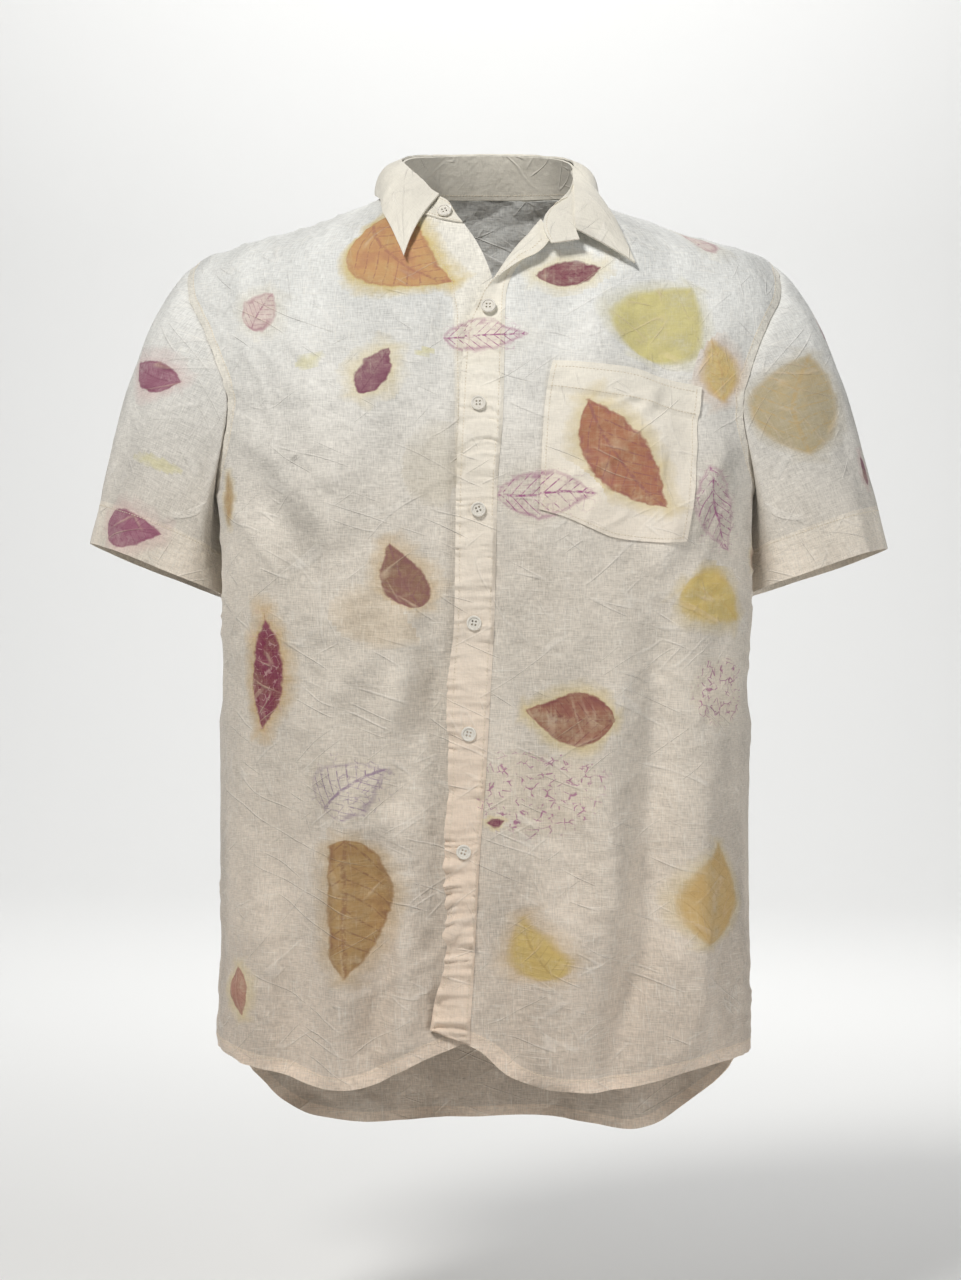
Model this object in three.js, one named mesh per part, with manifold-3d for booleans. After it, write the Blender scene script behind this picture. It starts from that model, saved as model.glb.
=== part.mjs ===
import * as THREE from "three";
import { mergeVertices } from "three/addons/utils/BufferGeometryUtils.js";
import Module from "manifold-3d";

// Short-sleeve shirt as worn, in millimetres. Up is +Z, the front faces -Y and +X is the wearer's left.

const WALL = 1.4; // one layer of cloth
const FOLDED = 2.2; // cloth turned under and sewn: hem bands and the edge of the right front
const BAND_WALL = 1.2; // placket and pocket, laid on a panel
const COLLAR_WALL = 1.8; // collar stand and leaf, two layers each
const SEAM = 0.3; // gap between pieces sewn together
const LAID = 0.45; // gap under a piece sewn on top of a panel
const UNDERLAP = 2.9; // how far the right front sinks to pass under the left one
const ARM_ROWS = 12; // panel rows beside each half armhole
const SIDE_ROWS = 15; // panel rows from underarm to hem
const NECK_COLUMNS = 8;
const SHOULDER_COLUMNS = 8;
const ARM_SHARE = 0.36; // share of a panel's height beside the armhole
const SLEEVE_BAND = 34; // sleeve hem band

// Body sections from the collar down: half width a, depth f forward and b backward of y, roundness n.
const BODY = [
  { z: 62, a: 60, f: 31, b: 56, n: 2, y: 9 },
  { z: 45, a: 66, f: 36, b: 61, n: 2, y: 9 },
  { z: 30, a: 73, f: 43, b: 68, n: 2, y: 8 },
  { z: 14, a: 86, f: 56, b: 78, n: 2, y: 8 },
  { z: 3, a: 109, f: 67, b: 85, n: 2, y: 7 },
  { z: -8, a: 136, f: 74, b: 90, n: 2, y: 6 },
  { z: -22, a: 180, f: 82, b: 96, n: 2, y: 6 },
  { z: -41, a: 236, f: 91, b: 102, n: 2.05, y: 6 },
  { z: -80, a: 262, f: 107, b: 110, n: 2.1, y: 5 },
  { z: -120, a: 256, f: 118, b: 116, n: 2.2, y: 4 },
  { z: -160, a: 243, f: 126, b: 120, n: 2.35, y: 2 },
  { z: -200, a: 231, f: 130, b: 121, n: 2.6, y: 0 },
  { z: -250, a: 223, f: 132, b: 120, n: 2.8, y: 0 },
  { z: -330, a: 222, f: 131, b: 117, n: 2.8, y: 0 },
  { z: -450, a: 219, f: 127, b: 112, n: 2.7, y: 0 },
  { z: -600, a: 218, f: 119, b: 107, n: 2.6, y: 0 },
  { z: -700, a: 219, f: 113, b: 105, n: 2.6, y: 0 },
  { z: -790, a: 219, f: 110, b: 103, n: 2.6, y: 0 },
];

// The side under each sleeve, pressed in by the arm.
const DENT = [
  { z: -170, deep: 0 },
  { z: -247, deep: 18 },
  { z: -300, deep: 22 },
  { z: -350, deep: 12 },
  { z: -420, deep: 0 },
];
const DENT_FULL = 0.2; // rad either side of the side seam
const DENT_END = 0.42;

// Armhole from shoulder tip to underarm: distance forward and backward of the section's middle.
const ARMHOLE = [
  { z: -41, front: 0, back: 0 },
  { z: -58, front: 30, back: 27 },
  { z: -85, front: 51, back: 48 },
  { z: -117, front: 66, back: 65 },
  { z: -159, front: 77, back: 76 },
  { z: -200, front: 70, back: 72 },
  { z: -233, front: 42, back: 45 },
  { z: -247, front: 0, back: 0 },
];

// Neck seams from the front edge to the shoulder, x outward on the side named.
const RIGHT_NECK = [
  { x: 17, z: -17 },
  { x: 40, z: -12.5 },
  { x: 59.5, z: -3.3 },
  { x: 74, z: 6.5 },
];
const LEFT_NECK = [
  { x: -5, z: -82 },
  { x: 10, z: -61 },
  { x: 28, z: -37 },
  { x: 46, z: -14 },
  { x: 56, z: -1 },
  { x: 70, z: 8 },
];
const BACK_NECK = [
  { x: 0, z: 20.5 },
  { x: 30, z: 20 },
  { x: 55, z: 19 },
  { x: 76, z: 17 },
];
const NECK_SIDE = 14; // height where the neck seam crosses the shoulder

// Hidden front edge of the right front, x outward on that side.
const RIGHT_EDGE = [
  { z: -17, x: 17 },
  { z: -30, x: 8 },
  { z: -45, x: 0 },
  { z: -62, x: -6 },
  { z: -90, x: -10 },
  { z: -665, x: -8 },
];

// Placket on the left front, from its first button down: free edge and stitched edge.
const PLACKET = [
  { z: -82, free: -5, sewn: 16 },
  { z: -88, free: -9.5, sewn: 16 },
  { z: -100, free: -14.3, sewn: 15.8 },
  { z: -128, free: -18, sewn: 15.2 },
  { z: -171, free: -20.5, sewn: 14.2 },
  { z: -225, free: -22.8, sewn: 10 },
  { z: -336, free: -24.5, sewn: 7.3 },
  { z: -394, free: -29, sewn: 4.2 },
  { z: -460, free: -28, sewn: 0.5 },
  { z: -523, free: -31.5, sewn: -4.2 },
  { z: -577, free: -29.5, sewn: -7 },
  { z: -612, free: -32, sewn: -8.7 },
  { z: -640, free: -40.5, sewn: -10.5 },
  { z: -663, free: -44, sewn: -12 },
];

// Opened top of that placket, station by station: sewn base, roll line and free edge laid outward.
const LAPEL = [
  { baseX: 51, baseZ: -22, rollX: 44, rollZ: -15, freeX: 51, freeZ: -36, open: 1 },
  { baseX: 43, baseZ: -32, rollX: 35, rollZ: -27, freeX: 42, freeZ: -46, open: 1 },
  { baseX: 34, baseZ: -43, rollX: 25, rollZ: -38.5, freeX: 29, freeZ: -53, open: 1 },
  { baseX: 25, baseZ: -55, rollX: 15, rollZ: -51, freeX: 15, freeZ: -61.5, open: 0.9 },
  { baseX: 19, baseZ: -67, rollX: 7, rollZ: -62, freeX: 3, freeZ: -70, open: 0.6 },
  { baseX: 16.5, baseZ: -77, rollX: 4, rollZ: -74, freeX: -4, freeZ: -78, open: 0.25 },
];
// Cross-section of the opened part: share of the way base to roll (0 to 1) to free (1 to 2), and rise.
const ROLL = [
  { way: 0, rise: 0 },
  { way: 0.6, rise: 0 },
  { way: 0.93, rise: 1.6 },
  { way: 1, rise: 4.2 },
  { way: 1.12, rise: 6.8 },
  { way: 1.5, rise: 8.6 },
  { way: 2, rise: 9 },
];

// Collar stand, station by station from the right front end round the back to the left front end:
// low edge on the neck seam, high edge at the collar fold, and how far each stands off the neck form.
const STAND = [
  { lowX: -18, lowZ: -16.4, lowOff: 1, highX: -24, highZ: -7, highOff: 1, back: 0 },
  { lowX: -24, lowZ: -15.6, lowOff: 1, highX: -29, highZ: 2, highOff: 1, back: 0 },
  { lowX: -32, lowZ: -14, lowOff: 1, highX: -36, highZ: 7, highOff: 1, back: 0 },
  { lowX: -40, lowZ: -12, lowOff: 1, highX: -42.5, highZ: 12, highOff: 1, back: 0 },
  { lowX: -50, lowZ: -8, lowOff: 1, highX: -48, highZ: 18, highOff: 1, back: 0 },
  { lowX: -59.5, lowZ: -2.6, lowOff: 1, highX: -54, highZ: 24, highOff: 1, back: 0 },
  { lowX: -74, lowZ: 7.2, lowOff: 1, highX: -60, highZ: 32, highOff: 1, back: 0 },
  { lowX: -85, lowZ: 14.8, lowOff: 0.5, highX: -67, highZ: 43, highOff: 0, back: 0 },
  { lowX: -76, lowZ: 17.8, lowOff: 0.5, highX: -60, highZ: 50, highOff: 0, back: 1 },
  { lowX: -55, lowZ: 19.8, lowOff: 0.5, highX: -45, highZ: 53.5, highOff: 0, back: 1 },
  { lowX: -30, lowZ: 20.8, lowOff: 0.5, highX: -25, highZ: 56, highOff: 0, back: 1 },
  { lowX: 0, lowZ: 21.3, lowOff: 0.5, highX: 0, highZ: 57, highOff: 0, back: 1 },
  { lowX: 30, lowZ: 20.8, lowOff: 0.5, highX: 25, highZ: 56, highOff: 0, back: 1 },
  { lowX: 55, lowZ: 19.8, lowOff: 0.5, highX: 46, highZ: 53, highOff: 0, back: 1 },
  { lowX: 76, lowZ: 17.8, lowOff: 0.5, highX: 62, highZ: 48, highOff: 0, back: 1 },
  { lowX: 85, lowZ: 14.8, lowOff: 0.5, highX: 71, highZ: 41, highOff: 2, back: 0 },
  { lowX: 70, lowZ: 8.8, lowOff: 2.5, highX: 73, highZ: 31, highOff: 12, back: 0 },
  { lowX: 58, lowZ: 1.8, lowOff: 4, highX: 73, highZ: 17, highOff: 10, back: 0 },
  { lowX: 50, lowZ: -7, lowOff: 7, highX: 73, highZ: 2, highOff: 12, back: 0 },
  { lowX: 47, lowZ: -16, lowOff: 12.5, highX: 72, highZ: -13, highOff: 14, back: 0 },
  { lowX: 48, lowZ: -25, lowOff: 16, highX: 73, highZ: -23, highOff: 15.5, back: 0 },
  { lowX: 53, lowZ: -34.6, lowOff: 16, highX: 75.5, highZ: -31, highOff: 15.5, back: 0 },
];
const STAND_ROWS = 3;

// Collar leaf: the fold follows the stand's high edge at the station named, the rim is its outer edge.
const LEAF = [
  { stand: 2, rimX: -65, rimZ: -45, rimOff: 7, belly: 4, back: 0 },
  { stand: 3, rimX: -70, rimZ: -33, rimOff: 7, belly: 5, back: 0 },
  { stand: 4, rimX: -76, rimZ: -19, rimOff: 7, belly: 5, back: 0 },
  { stand: 5, rimX: -82, rimZ: -6, rimOff: 7, belly: 5, back: 0 },
  { stand: 6, rimX: -84, rimZ: 6, rimOff: 7, belly: 6, back: 0 },
  { stand: 7, rimX: -90, rimZ: 16.5, rimOff: 0, belly: 7, back: 0 },
  { stand: 8, rimX: -88, rimZ: 16.3, rimOff: 8, belly: 8, back: 1 },
  { stand: 9, rimX: -64, rimZ: 15.5, rimOff: 10, belly: 8, back: 1 },
  { stand: 10, rimX: -32, rimZ: 12.5, rimOff: 9, belly: 8, back: 1 },
  { stand: 11, rimX: 0, rimZ: 12, rimOff: 9, belly: 8, back: 1 },
  { stand: 12, rimX: 32, rimZ: 12.5, rimOff: 9, belly: 8, back: 1 },
  { stand: 13, rimX: 64, rimZ: 15.5, rimOff: 10, belly: 8, back: 1 },
  { stand: 14, rimX: 88, rimZ: 16.3, rimOff: 8, belly: 8, back: 1 },
  { stand: 15, rimX: 92, rimZ: 15.5, rimOff: 4, belly: 7, back: 0 },
  { stand: 16, rimX: 92, rimZ: 6, rimOff: 5, belly: 6, back: 0 },
  { stand: 17, rimX: 101, rimZ: -5, rimOff: 6, belly: 6, back: 0 },
  { stand: 18, rimX: 107, rimZ: -18, rimOff: 6, belly: 6, back: 0 },
  { stand: 19, rimX: 113, rimZ: -33, rimOff: 6, belly: 3, back: 0 },
  { stand: 20, rimX: 120, rimZ: -50, rimOff: 6, belly: 1, back: 0 },
];
const LEAF_ROWS = 5;
const OPEN_STATION = 16; // from here on the stand lies open and the leaf goes on from its edge
const FOLD_GAP = 0.9; // leaf underside outside the stand's high edge
const EDGE_GAP = 2.5; // leaf beyond the high edge of the opened stand

// Hems, x outward on the side named.
const RIGHT_HEM = [
  { x: -8, z: -665 },
  { x: 16, z: -673 },
  { x: 30, z: -679 },
  { x: 50, z: -687 },
  { x: 69, z: -696 },
  { x: 88, z: -706 },
  { x: 108, z: -710 },
  { x: 127, z: -710.5 },
  { x: 161, z: -702 },
  { x: 191, z: -695 },
  { x: 219, z: -686 },
];
const LEFT_HEM = [
  { x: -44, z: -663 },
  { x: -30, z: -668 },
  { x: -15, z: -673.5 },
  { x: -3.5, z: -679 },
  { x: 16, z: -697 },
  { x: 31, z: -704 },
  { x: 56, z: -710 },
  { x: 83, z: -711 },
  { x: 112, z: -709.5 },
  { x: 132, z: -705 },
  { x: 162, z: -698 },
  { x: 200, z: -692 },
  { x: 219, z: -690 },
];
const BACK_HEM = [
  { x: -219, z: -686 },
  { x: -200, z: -716 },
  { x: -174, z: -746 },
  { x: -146, z: -763 },
  { x: -96, z: -770 },
  { x: -12, z: -766 },
  { x: 29, z: -765 },
  { x: 90, z: -771 },
  { x: 126, z: -775 },
  { x: 144, z: -771 },
  { x: 180, z: -743 },
  { x: 202, z: -722 },
  { x: 219, z: -690 },
];

// Sleeve hems: outer and inner end of the opening, half depth, and how much lower its back hangs.
const SLEEVES = [
  { name: "sleeve_right", side: -1, outX: 327, outZ: -269, inX: 211, inZ: -315, half: 58, drop: 9 },
  { name: "sleeve_left", side: 1, outX: 334, outZ: -273, inX: 211, inZ: -314, half: 58, drop: 9 },
];
const SLEEVE_BULGE = 17; // cap of the sleeve outside the straight line to its hem
const SLEEVE_STEPS = [0, 0.05, 0.14, 0.26, 0.4, 0.55, 0.7, 0.85, 1]; // armhole to hem band
const SLEEVE_BAND_ROWS = 2;
const ARMPIT_GAP = 2.2; // sleeve off the body where the two lie against each other
// Lengthwise folds of a sleeve: place round it from the underarm by the front, half width, height.
const SLEEVE_FOLDS = [
  { at: 0.22, wide: 0.05, high: -3.5 },
  { at: 0.33, wide: 0.05, high: 3 },
  { at: 0.4, wide: 0.04, high: -3 },
  { at: 0.64, wide: 0.05, high: -3 },
  { at: 0.76, wide: 0.05, high: 3 },
];

// Largest folds of the body: line from (x1, z1) to (x2, z2), half width and height, outward positive.
const FRONT_FOLDS = [
  { x1: -30, z1: -350, x2: -72, z2: -480, wide: 15, high: -4.5 },
  { x1: -60, z1: -340, x2: -98, z2: -470, wide: 14, high: 3.5 },
  { x1: -120, z1: -350, x2: -114, z2: -700, wide: 15, high: 5 },
  { x1: -92, z1: -480, x2: -88, z2: -690, wide: 15, high: -4.5 },
  { x1: -165, z1: -430, x2: -160, z2: -690, wide: 17, high: -5 },
  { x1: -66, z1: -560, x2: -58, z2: -690, wide: 13, high: 4 },
  { x1: 138, z1: -310, x2: 134, z2: -540, wide: 16, high: -5 },
  { x1: 108, z1: -330, x2: 100, z2: -560, wide: 15, high: 3.5 },
  { x1: 172, z1: -380, x2: 168, z2: -680, wide: 16, high: 4.5 },
  { x1: 108, z1: -590, x2: 100, z2: -700, wide: 14, high: -4.5 },
  { x1: 66, z1: -560, x2: 58, z2: -700, wide: 14, high: 4 },
  { x1: 30, z1: -250, x2: 36, z2: -400, wide: 13, high: -2.5 },
];
const BACK_FOLDS = [
  { x1: -150, z1: -330, x2: -158, z2: -740, wide: 18, high: 5 },
  { x1: -112, z1: -420, x2: -106, z2: -750, wide: 17, high: -5 },
  { x1: -40, z1: -380, x2: -46, z2: -755, wide: 18, high: 4.5 },
  { x1: 8, z1: -300, x2: 4, z2: -755, wide: 19, high: -4 },
  { x1: 62, z1: -400, x2: 66, z2: -755, wide: 18, high: 5 },
  { x1: 116, z1: -350, x2: 118, z2: -750, wide: 17, high: -5 },
  { x1: 160, z1: -430, x2: 164, z2: -735, wide: 16, high: 4 },
];

// Chest pocket outline, x to the wearer's left.
const POCKET_TOP = [
  { x: 53.5, z: -130.5 },
  { x: 97, z: -134.5 },
  { x: 121.5, z: -137.5 },
  { x: 140, z: -142.6 },
  { x: 173, z: -150 },
];
const POCKET_RIGHT = [
  { x: 173, z: -150 },
  { x: 169.5, z: -194.5 },
  { x: 159, z: -273.5 },
];
const POCKET_FOOT = [
  { x: 42.5, z: -248.5 },
  { x: 64, z: -255 },
  { x: 85, z: -264 },
  { x: 104, z: -271 },
  { x: 137, z: -274.5 },
  { x: 159, z: -273.5 },
];
const POCKET_LEFT = [
  { x: 53.5, z: -130.5 },
  { x: 49, z: -151 },
  { x: 45.5, z: -184 },
  { x: 42.5, z: -248.5 },
];
const POCKET_COLUMNS = 8;
const POCKET_ROWS = 8;
const POCKET_BAND_ROWS = 2;
const POCKET_BAND_WALL = 2;
const POCKET_MOUTH = 2.5; // how far the middle of the pocket mouth stands off the front

const BUTTON = { radius: 6, base: 5.2, thick: 2.4, dish: 1.6, rim: 4.3, hole: 0.8, holeOff: 1.35 };
const BUTTONS = [
  { name: "button_1", x: 2.4, z: -87.5, off: 1.6 },
  { name: "button_2", x: -5.5, z: -165, off: 0 },
  { name: "button_3", x: -5.5, z: -248.5, off: 0 },
  { name: "button_4", x: -8.8, z: -338, off: 0 },
  { name: "button_5", x: -13, z: -425.5, off: 0 },
  { name: "button_6", x: -17, z: -519, off: 0 },
];
const NECK_BUTTON = { name: "button_collar", x: -33, z: -5.5 };

const mix = (a, b, t) => a + (b - a) * t;
const clamp01 = (v) => Math.min(1, Math.max(0, v));
const smooth = (v) => clamp01(v) ** 2 * (3 - 2 * clamp01(v));

// Value of a table's column where its column `by` equals v, on a smooth curve without overshoot.
function lookup(rows, by, key, v) {
  const falling = rows[0][by] > rows[rows.length - 1][by];
  const list = falling ? [...rows].reverse() : rows;
  const last = list.length - 1;
  if (v <= list[0][by]) return list[0][key];
  if (v >= list[last][by]) return list[last][key];
  let i = 0;
  while (v > list[i + 1][by]) i += 1;
  const rise = (k) => (list[k + 1][key] - list[k][key]) / (list[k + 1][by] - list[k][by]);
  const slope = (k) => {
    if (k === 0 || k === last) return k === 0 ? rise(0) : rise(last - 1);
    const before = rise(k - 1);
    const after = rise(k);
    return before * after <= 0 ? 0 : (2 * before * after) / (before + after);
  };
  const step = list[i + 1][by] - list[i][by];
  const t = (v - list[i][by]) / step;
  const bend = t * t * (3 - 2 * t);
  return (
    mix(list[i][key], list[i + 1][key], bend) +
    step * (t * (1 - t) ** 2 * slope(i) - t * t * (1 - t) * slope(i + 1))
  );
}

function section(z, back) {
  const at = (key) => lookup(BODY, "z", key, z);
  return { a: at("a"), d: at(back ? "b" : "f"), n: at("n"), y: at("y") };
}

// Length of a section from its centre line to the side.
function quarter(z, back) {
  const { a, d } = section(z, back);
  return (Math.PI / 2) * Math.sqrt((a * a + d * d) / 2);
}

// Distance along a section of the point at x, and of the point `depth` forward or backward.
function alongFromX(x, z, back) {
  const { a, n } = section(z, back);
  const across = Math.min(1, Math.abs(x) / a);
  const angle = Math.atan2(across, (1 - across ** n) ** (1 / n));
  return (Math.sign(x) * quarter(z, back) * angle) / (Math.PI / 2);
}
function alongFromDepth(depth, z, back) {
  const { d, n } = section(z, back);
  const out = Math.min(1, depth / d);
  return (quarter(z, back) * Math.atan2((1 - out ** n) ** (1 / n), out)) / (Math.PI / 2);
}

function bare(w, z, back) {
  const { a, d, n, y } = section(z, back);
  const angle = ((Math.PI / 2) * w) / quarter(z, back);
  const s = Math.sin(angle);
  const c = Math.cos(angle);
  const r = (Math.abs(s) ** n + Math.abs(c) ** n) ** (-1 / n);
  const off = Math.abs(Math.PI / 2 - Math.abs(angle));
  const press = 1 - smooth((off - DENT_FULL) / (DENT_END - DENT_FULL));
  const wide = a - lookup(DENT, "z", "deep", z) * press;
  return new THREE.Vector3(wide * s * r, y + (back ? 1 : -1) * d * c * r, z);
}

function outward(w, z, back) {
  const e = 0.5;
  const across = bare(w + e, z, back).sub(bare(w - e, z, back));
  const down = bare(w, z - e, back).sub(bare(w, z + e, back));
  const n = across.cross(down).normalize();
  const here = bare(w, z, back);
  return n.dot(here.setZ(0)) < 0 ? n.negate() : n;
}

// Height of the listed folds at a point of the front or back.
function foldHeight(x, z, back, fade) {
  const lift = (fold) => {
    const dx = fold.x2 - fold.x1;
    const dz = fold.z2 - fold.z1;
    const t = ((x - fold.x1) * dx + (z - fold.z1) * dz) / (dx * dx + dz * dz);
    const near = clamp01(t);
    const gap = Math.hypot(x - fold.x1 - near * dx, z - fold.z1 - near * dz);
    const grown = smooth(t / 0.35);
    return fold.high * grown * Math.exp(-((gap / fold.wide) ** 2));
  };
  const folds = back ? BACK_FOLDS : FRONT_FOLDS;
  return fade * folds.reduce((sum, fold) => sum + lift(fold), 0);
}

// Point of the cloth, `off` outward of the panel's outer face.
function cloth(w, z, back, off, side = 1) {
  const here = bare(w, z, back);
  const toSide = 1 - Math.abs(w) / quarter(z, back);
  const high = foldHeight(side * here.x, z, back, smooth(toSide / 0.15));
  return here.addScaledVector(outward(w, z, back), high + off);
}
const onFront = (x, z, off) => cloth(alongFromX(x, z, false), z, false, off);

// Closed solid between two grids of points; `loop` joins the last column to the first.
function slab(outer, inner, loop = false) {
  const rows = outer.length;
  const columns = outer[0].length;
  const last = loop ? columns : columns - 1;
  const faces = [];
  const at = (layer, r, c) => (layer * rows + r) * columns + (c % columns);
  const quad = (a, b, c, d) => faces.push(a, b, c, a, c, d);
  for (let r = 0; r < rows - 1; r += 1) {
    for (let c = 0; c < last; c += 1) {
      quad(at(0, r, c), at(0, r + 1, c), at(0, r + 1, c + 1), at(0, r, c + 1));
      quad(at(1, r, c), at(1, r, c + 1), at(1, r + 1, c + 1), at(1, r + 1, c));
    }
  }
  const foot = rows - 1;
  for (let c = 0; c < last; c += 1) {
    quad(at(0, 0, c), at(0, 0, c + 1), at(1, 0, c + 1), at(1, 0, c));
    quad(at(0, foot, c), at(1, foot, c), at(1, foot, c + 1), at(0, foot, c + 1));
  }
  for (let r = 0; r < rows - 1 && !loop; r += 1) {
    quad(at(0, r, 0), at(1, r, 0), at(1, r + 1, 0), at(0, r + 1, 0));
    quad(at(0, r, last), at(0, r + 1, last), at(1, r + 1, last), at(1, r, last));
  }
  const points = [...outer.flat(), ...inner.flat()];
  const corner = (k) => points[faces[k]];
  let volume = 0;
  for (let k = 0; k < faces.length; k += 3) {
    volume += corner(k).dot(corner(k + 1).clone().cross(corner(k + 2)));
  }
  if (volume < 0) faces.reverse();
  const geometry = new THREE.BufferGeometry();
  const spots = points.flatMap((p) => p.toArray());
  geometry.setAttribute("position", new THREE.Float32BufferAttribute(spots, 3));
  geometry.setIndex(faces);
  return geometry;
}

// Unit normals of a grid from its own neighbours.
function gridNormals(grid, loop = false) {
  return grid.map((row, r) =>
    row.map((p, c) => {
      const n = row.length;
      const next = loop ? (c + 1) % n : Math.min(c + 1, n - 1);
      const previous = loop ? (c + n - 1) % n : Math.max(c - 1, 0);
      const across = row[next].clone().sub(row[previous]);
      const up = grid[Math.max(r - 1, 0)][c];
      const down = grid[Math.min(r + 1, grid.length - 1)][c].clone().sub(up);
      return across.cross(down).normalize();
    }),
  );
}

// Normals of a grid on the side that `toward` names for the middle of its last row.
function facing(grid, toward) {
  const normals = gridNormals(grid);
  const last = normals[normals.length - 1];
  const sign = last[Math.floor(last.length / 2)].dot(toward) < 0 ? -1 : 1;
  return normals.map((row) => row.map((n) => n.multiplyScalar(sign)));
}

// Solid made from a grid and a wall laid on its facing side.
function sheet(grid, wall, toward) {
  const normals = facing(grid, toward);
  const thick = grid.map((row, r) =>
    row.map((p, c) => p.clone().addScaledVector(normals[r][c], wall)),
  );
  return slab(grid, thick);
}

// Even points on a smooth line through a list of { x, z } rows.
function drawn(list, count) {
  const line = new THREE.SplineCurve(list.map((row) => new THREE.Vector2(row.x, row.z)));
  return line.getSpacedPoints(count);
}

// Grid filled in between four edges, each a list of Vector2.
function filled(top, foot, left, right, across, downs) {
  const corners = [top[0], top[top.length - 1], foot[0], foot[foot.length - 1]];
  return downs.map((t, r) =>
    across.map((s, c) => {
      const part = (key) =>
        mix(top[c][key], foot[c][key], t) +
        mix(left[r][key], right[r][key], s) -
        mix(mix(corners[0][key], corners[1][key], s), mix(corners[2][key], corners[3][key], s), t);
      return new THREE.Vector2(part("x"), part("y"));
    }),
  );
}

const ROWS = ARM_ROWS + SIDE_ROWS;
const downShares = Array.from({ length: ROWS + 1 }, (_, r) =>
  r <= ARM_ROWS
    ? (ARM_SHARE * r) / ARM_ROWS
    : mix(ARM_SHARE, 1, (r - ARM_ROWS) / SIDE_ROWS),
);

// Armhole points of one panel as distance along and height, shoulder tip first.
function armhole(back) {
  const key = back ? "back" : "front";
  const line = drawn(ARMHOLE.map((row) => ({ x: row[key], z: row.z })), ARM_ROWS);
  return line.map((p) => new THREE.Vector2(alongFromDepth(Math.max(0, p.x), p.y, back), p.y));
}

// Outer edge of a panel: armhole, then side seam down to the hem.
function outerEdge(back, hemZ) {
  const arm = armhole(back);
  const under = arm[ARM_ROWS].y;
  const side = Array.from({ length: SIDE_ROWS }, (_, r) => {
    const z = mix(under, hemZ, (r + 1) / SIDE_ROWS);
    return new THREE.Vector2(quarter(z, back) - SEAM / 2, z);
  });
  arm[0].x -= SEAM;
  arm[ARM_ROWS].x -= SEAM / 2;
  return [...arm, ...side];
}

// Shoulder line from neck to tip.
function shoulder(back) {
  const neckX = section(NECK_SIDE, back).a;
  const tip = ARMHOLE[0].z;
  const tipX = section(tip, back).a;
  return Array.from({ length: SHOULDER_COLUMNS + 1 }, (_, c) => {
    const x = mix(neckX, tipX, c / SHOULDER_COLUMNS);
    let high = NECK_SIDE;
    let low = tip;
    for (let k = 0; k < 40; k += 1) {
      const middle = (high + low) / 2;
      if (section(middle, back).a < x) high = middle;
      else low = middle;
    }
    return new THREE.Vector2(quarter(high, back) - SEAM, high);
  });
}

// Top edge of half a panel from the centre to the shoulder tip.
function topEdge(neck, back) {
  const ridge = shoulder(back);
  const start = neck.map((row) => ({ x: alongFromX(row.x, row.z, back), z: row.z }));
  const line = drawn([...start, { x: ridge[0].x, z: ridge[0].y }], NECK_COLUMNS);
  return [...line.slice(0, NECK_COLUMNS), ...ridge];
}
const halfShares = Array.from(
  { length: NECK_COLUMNS + SHOULDER_COLUMNS + 1 },
  (_, c) => c / (NECK_COLUMNS + SHOULDER_COLUMNS),
);

// Hem of half a panel; `start` is x at the front edge or centre back.
function hemEdge(hem, start, side, back) {
  const z0 = lookup(hem, "x", "z", side * start);
  const from = alongFromX(start, z0, back);
  return halfShares.map((s) => {
    const guess = mix(from, quarter(z0, back), s);
    const x = bare(guess, z0, back).x;
    const z = lookup(hem, "x", "z", side * x);
    return new THREE.Vector2(mix(from, quarter(z, back) - SEAM / 2, s), z);
  });
}

// Panel on one side or across both, as a solid with a thicker band at the hem.
function panel(plan, side, back, sink, wallAt) {
  const outer = plan.map((row) =>
    row.map((p) => {
      const drop = sink(bare(p.x, p.y, back).x * side, p.y);
      const spot = cloth(p.x, p.y, back, -drop, side);
      return new THREE.Vector3(spot.x * side, spot.y, spot.z);
    }),
  );
  const inner = plan.map((row, r) =>
    row.map((p, c) => {
      const n = outward(p.x, p.y, back);
      const wall = wallAt(r, c, p);
      return outer[r][c].clone().sub(new THREE.Vector3(n.x * side, n.y, n.z).multiplyScalar(wall));
    }),
  );
  return slab(outer, inner);
}

const group = new THREE.Group();
function add(name, geometry, colour, roughness) {
  const material = new THREE.MeshStandardMaterial({ color: colour, roughness, metalness: 0 });
  const mesh = new THREE.Mesh(geometry, material);
  mesh.name = name;
  group.add(mesh);
}
const CLOTH = 0xdcd8cc;
const DOUBLE = 0xe9e2d0;
const PEARL = 0xd9d4c6;

// Right front: from its hidden edge to the side; it sinks under the left front.
const level = (table, z, key) => lookup(table, "z", key, z);
const sinkRight = (x, z) => {
  const cover = z > PLACKET[0].z ? mix(-5, -30, clamp01((z + 82) / 60)) : level(PLACKET, z, "free");
  return UNDERLAP * smooth((x - cover + 40) / 24) * (z > PLACKET[0].z - 10 ? smooth((-25 - z) / 30) : 1);
};
const rightTop = topEdge(RIGHT_NECK, false);
const rightSide = outerEdge(false, RIGHT_HEM[RIGHT_HEM.length - 1].z);
const rightCentre = downShares.map((t) => {
  const z = mix(RIGHT_NECK[0].z, RIGHT_HEM[0].z, t);
  return new THREE.Vector2(alongFromX(level(RIGHT_EDGE, z, "x"), z, false), z);
});
const mirrored = RIGHT_HEM.map((row) => ({ x: -row.x, z: row.z }));
const rightFoot = hemEdge(mirrored, RIGHT_HEM[0].x, -1, false);
const rightPlan = filled(rightTop, rightFoot, rightCentre, rightSide, halfShares, downShares);
const wallRight = (r, c) => (c < 2 || r >= ROWS - 1 ? FOLDED : WALL);
add("front_right", panel(rightPlan, -1, false, sinkRight, wallRight), CLOTH, 0.92);

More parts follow.
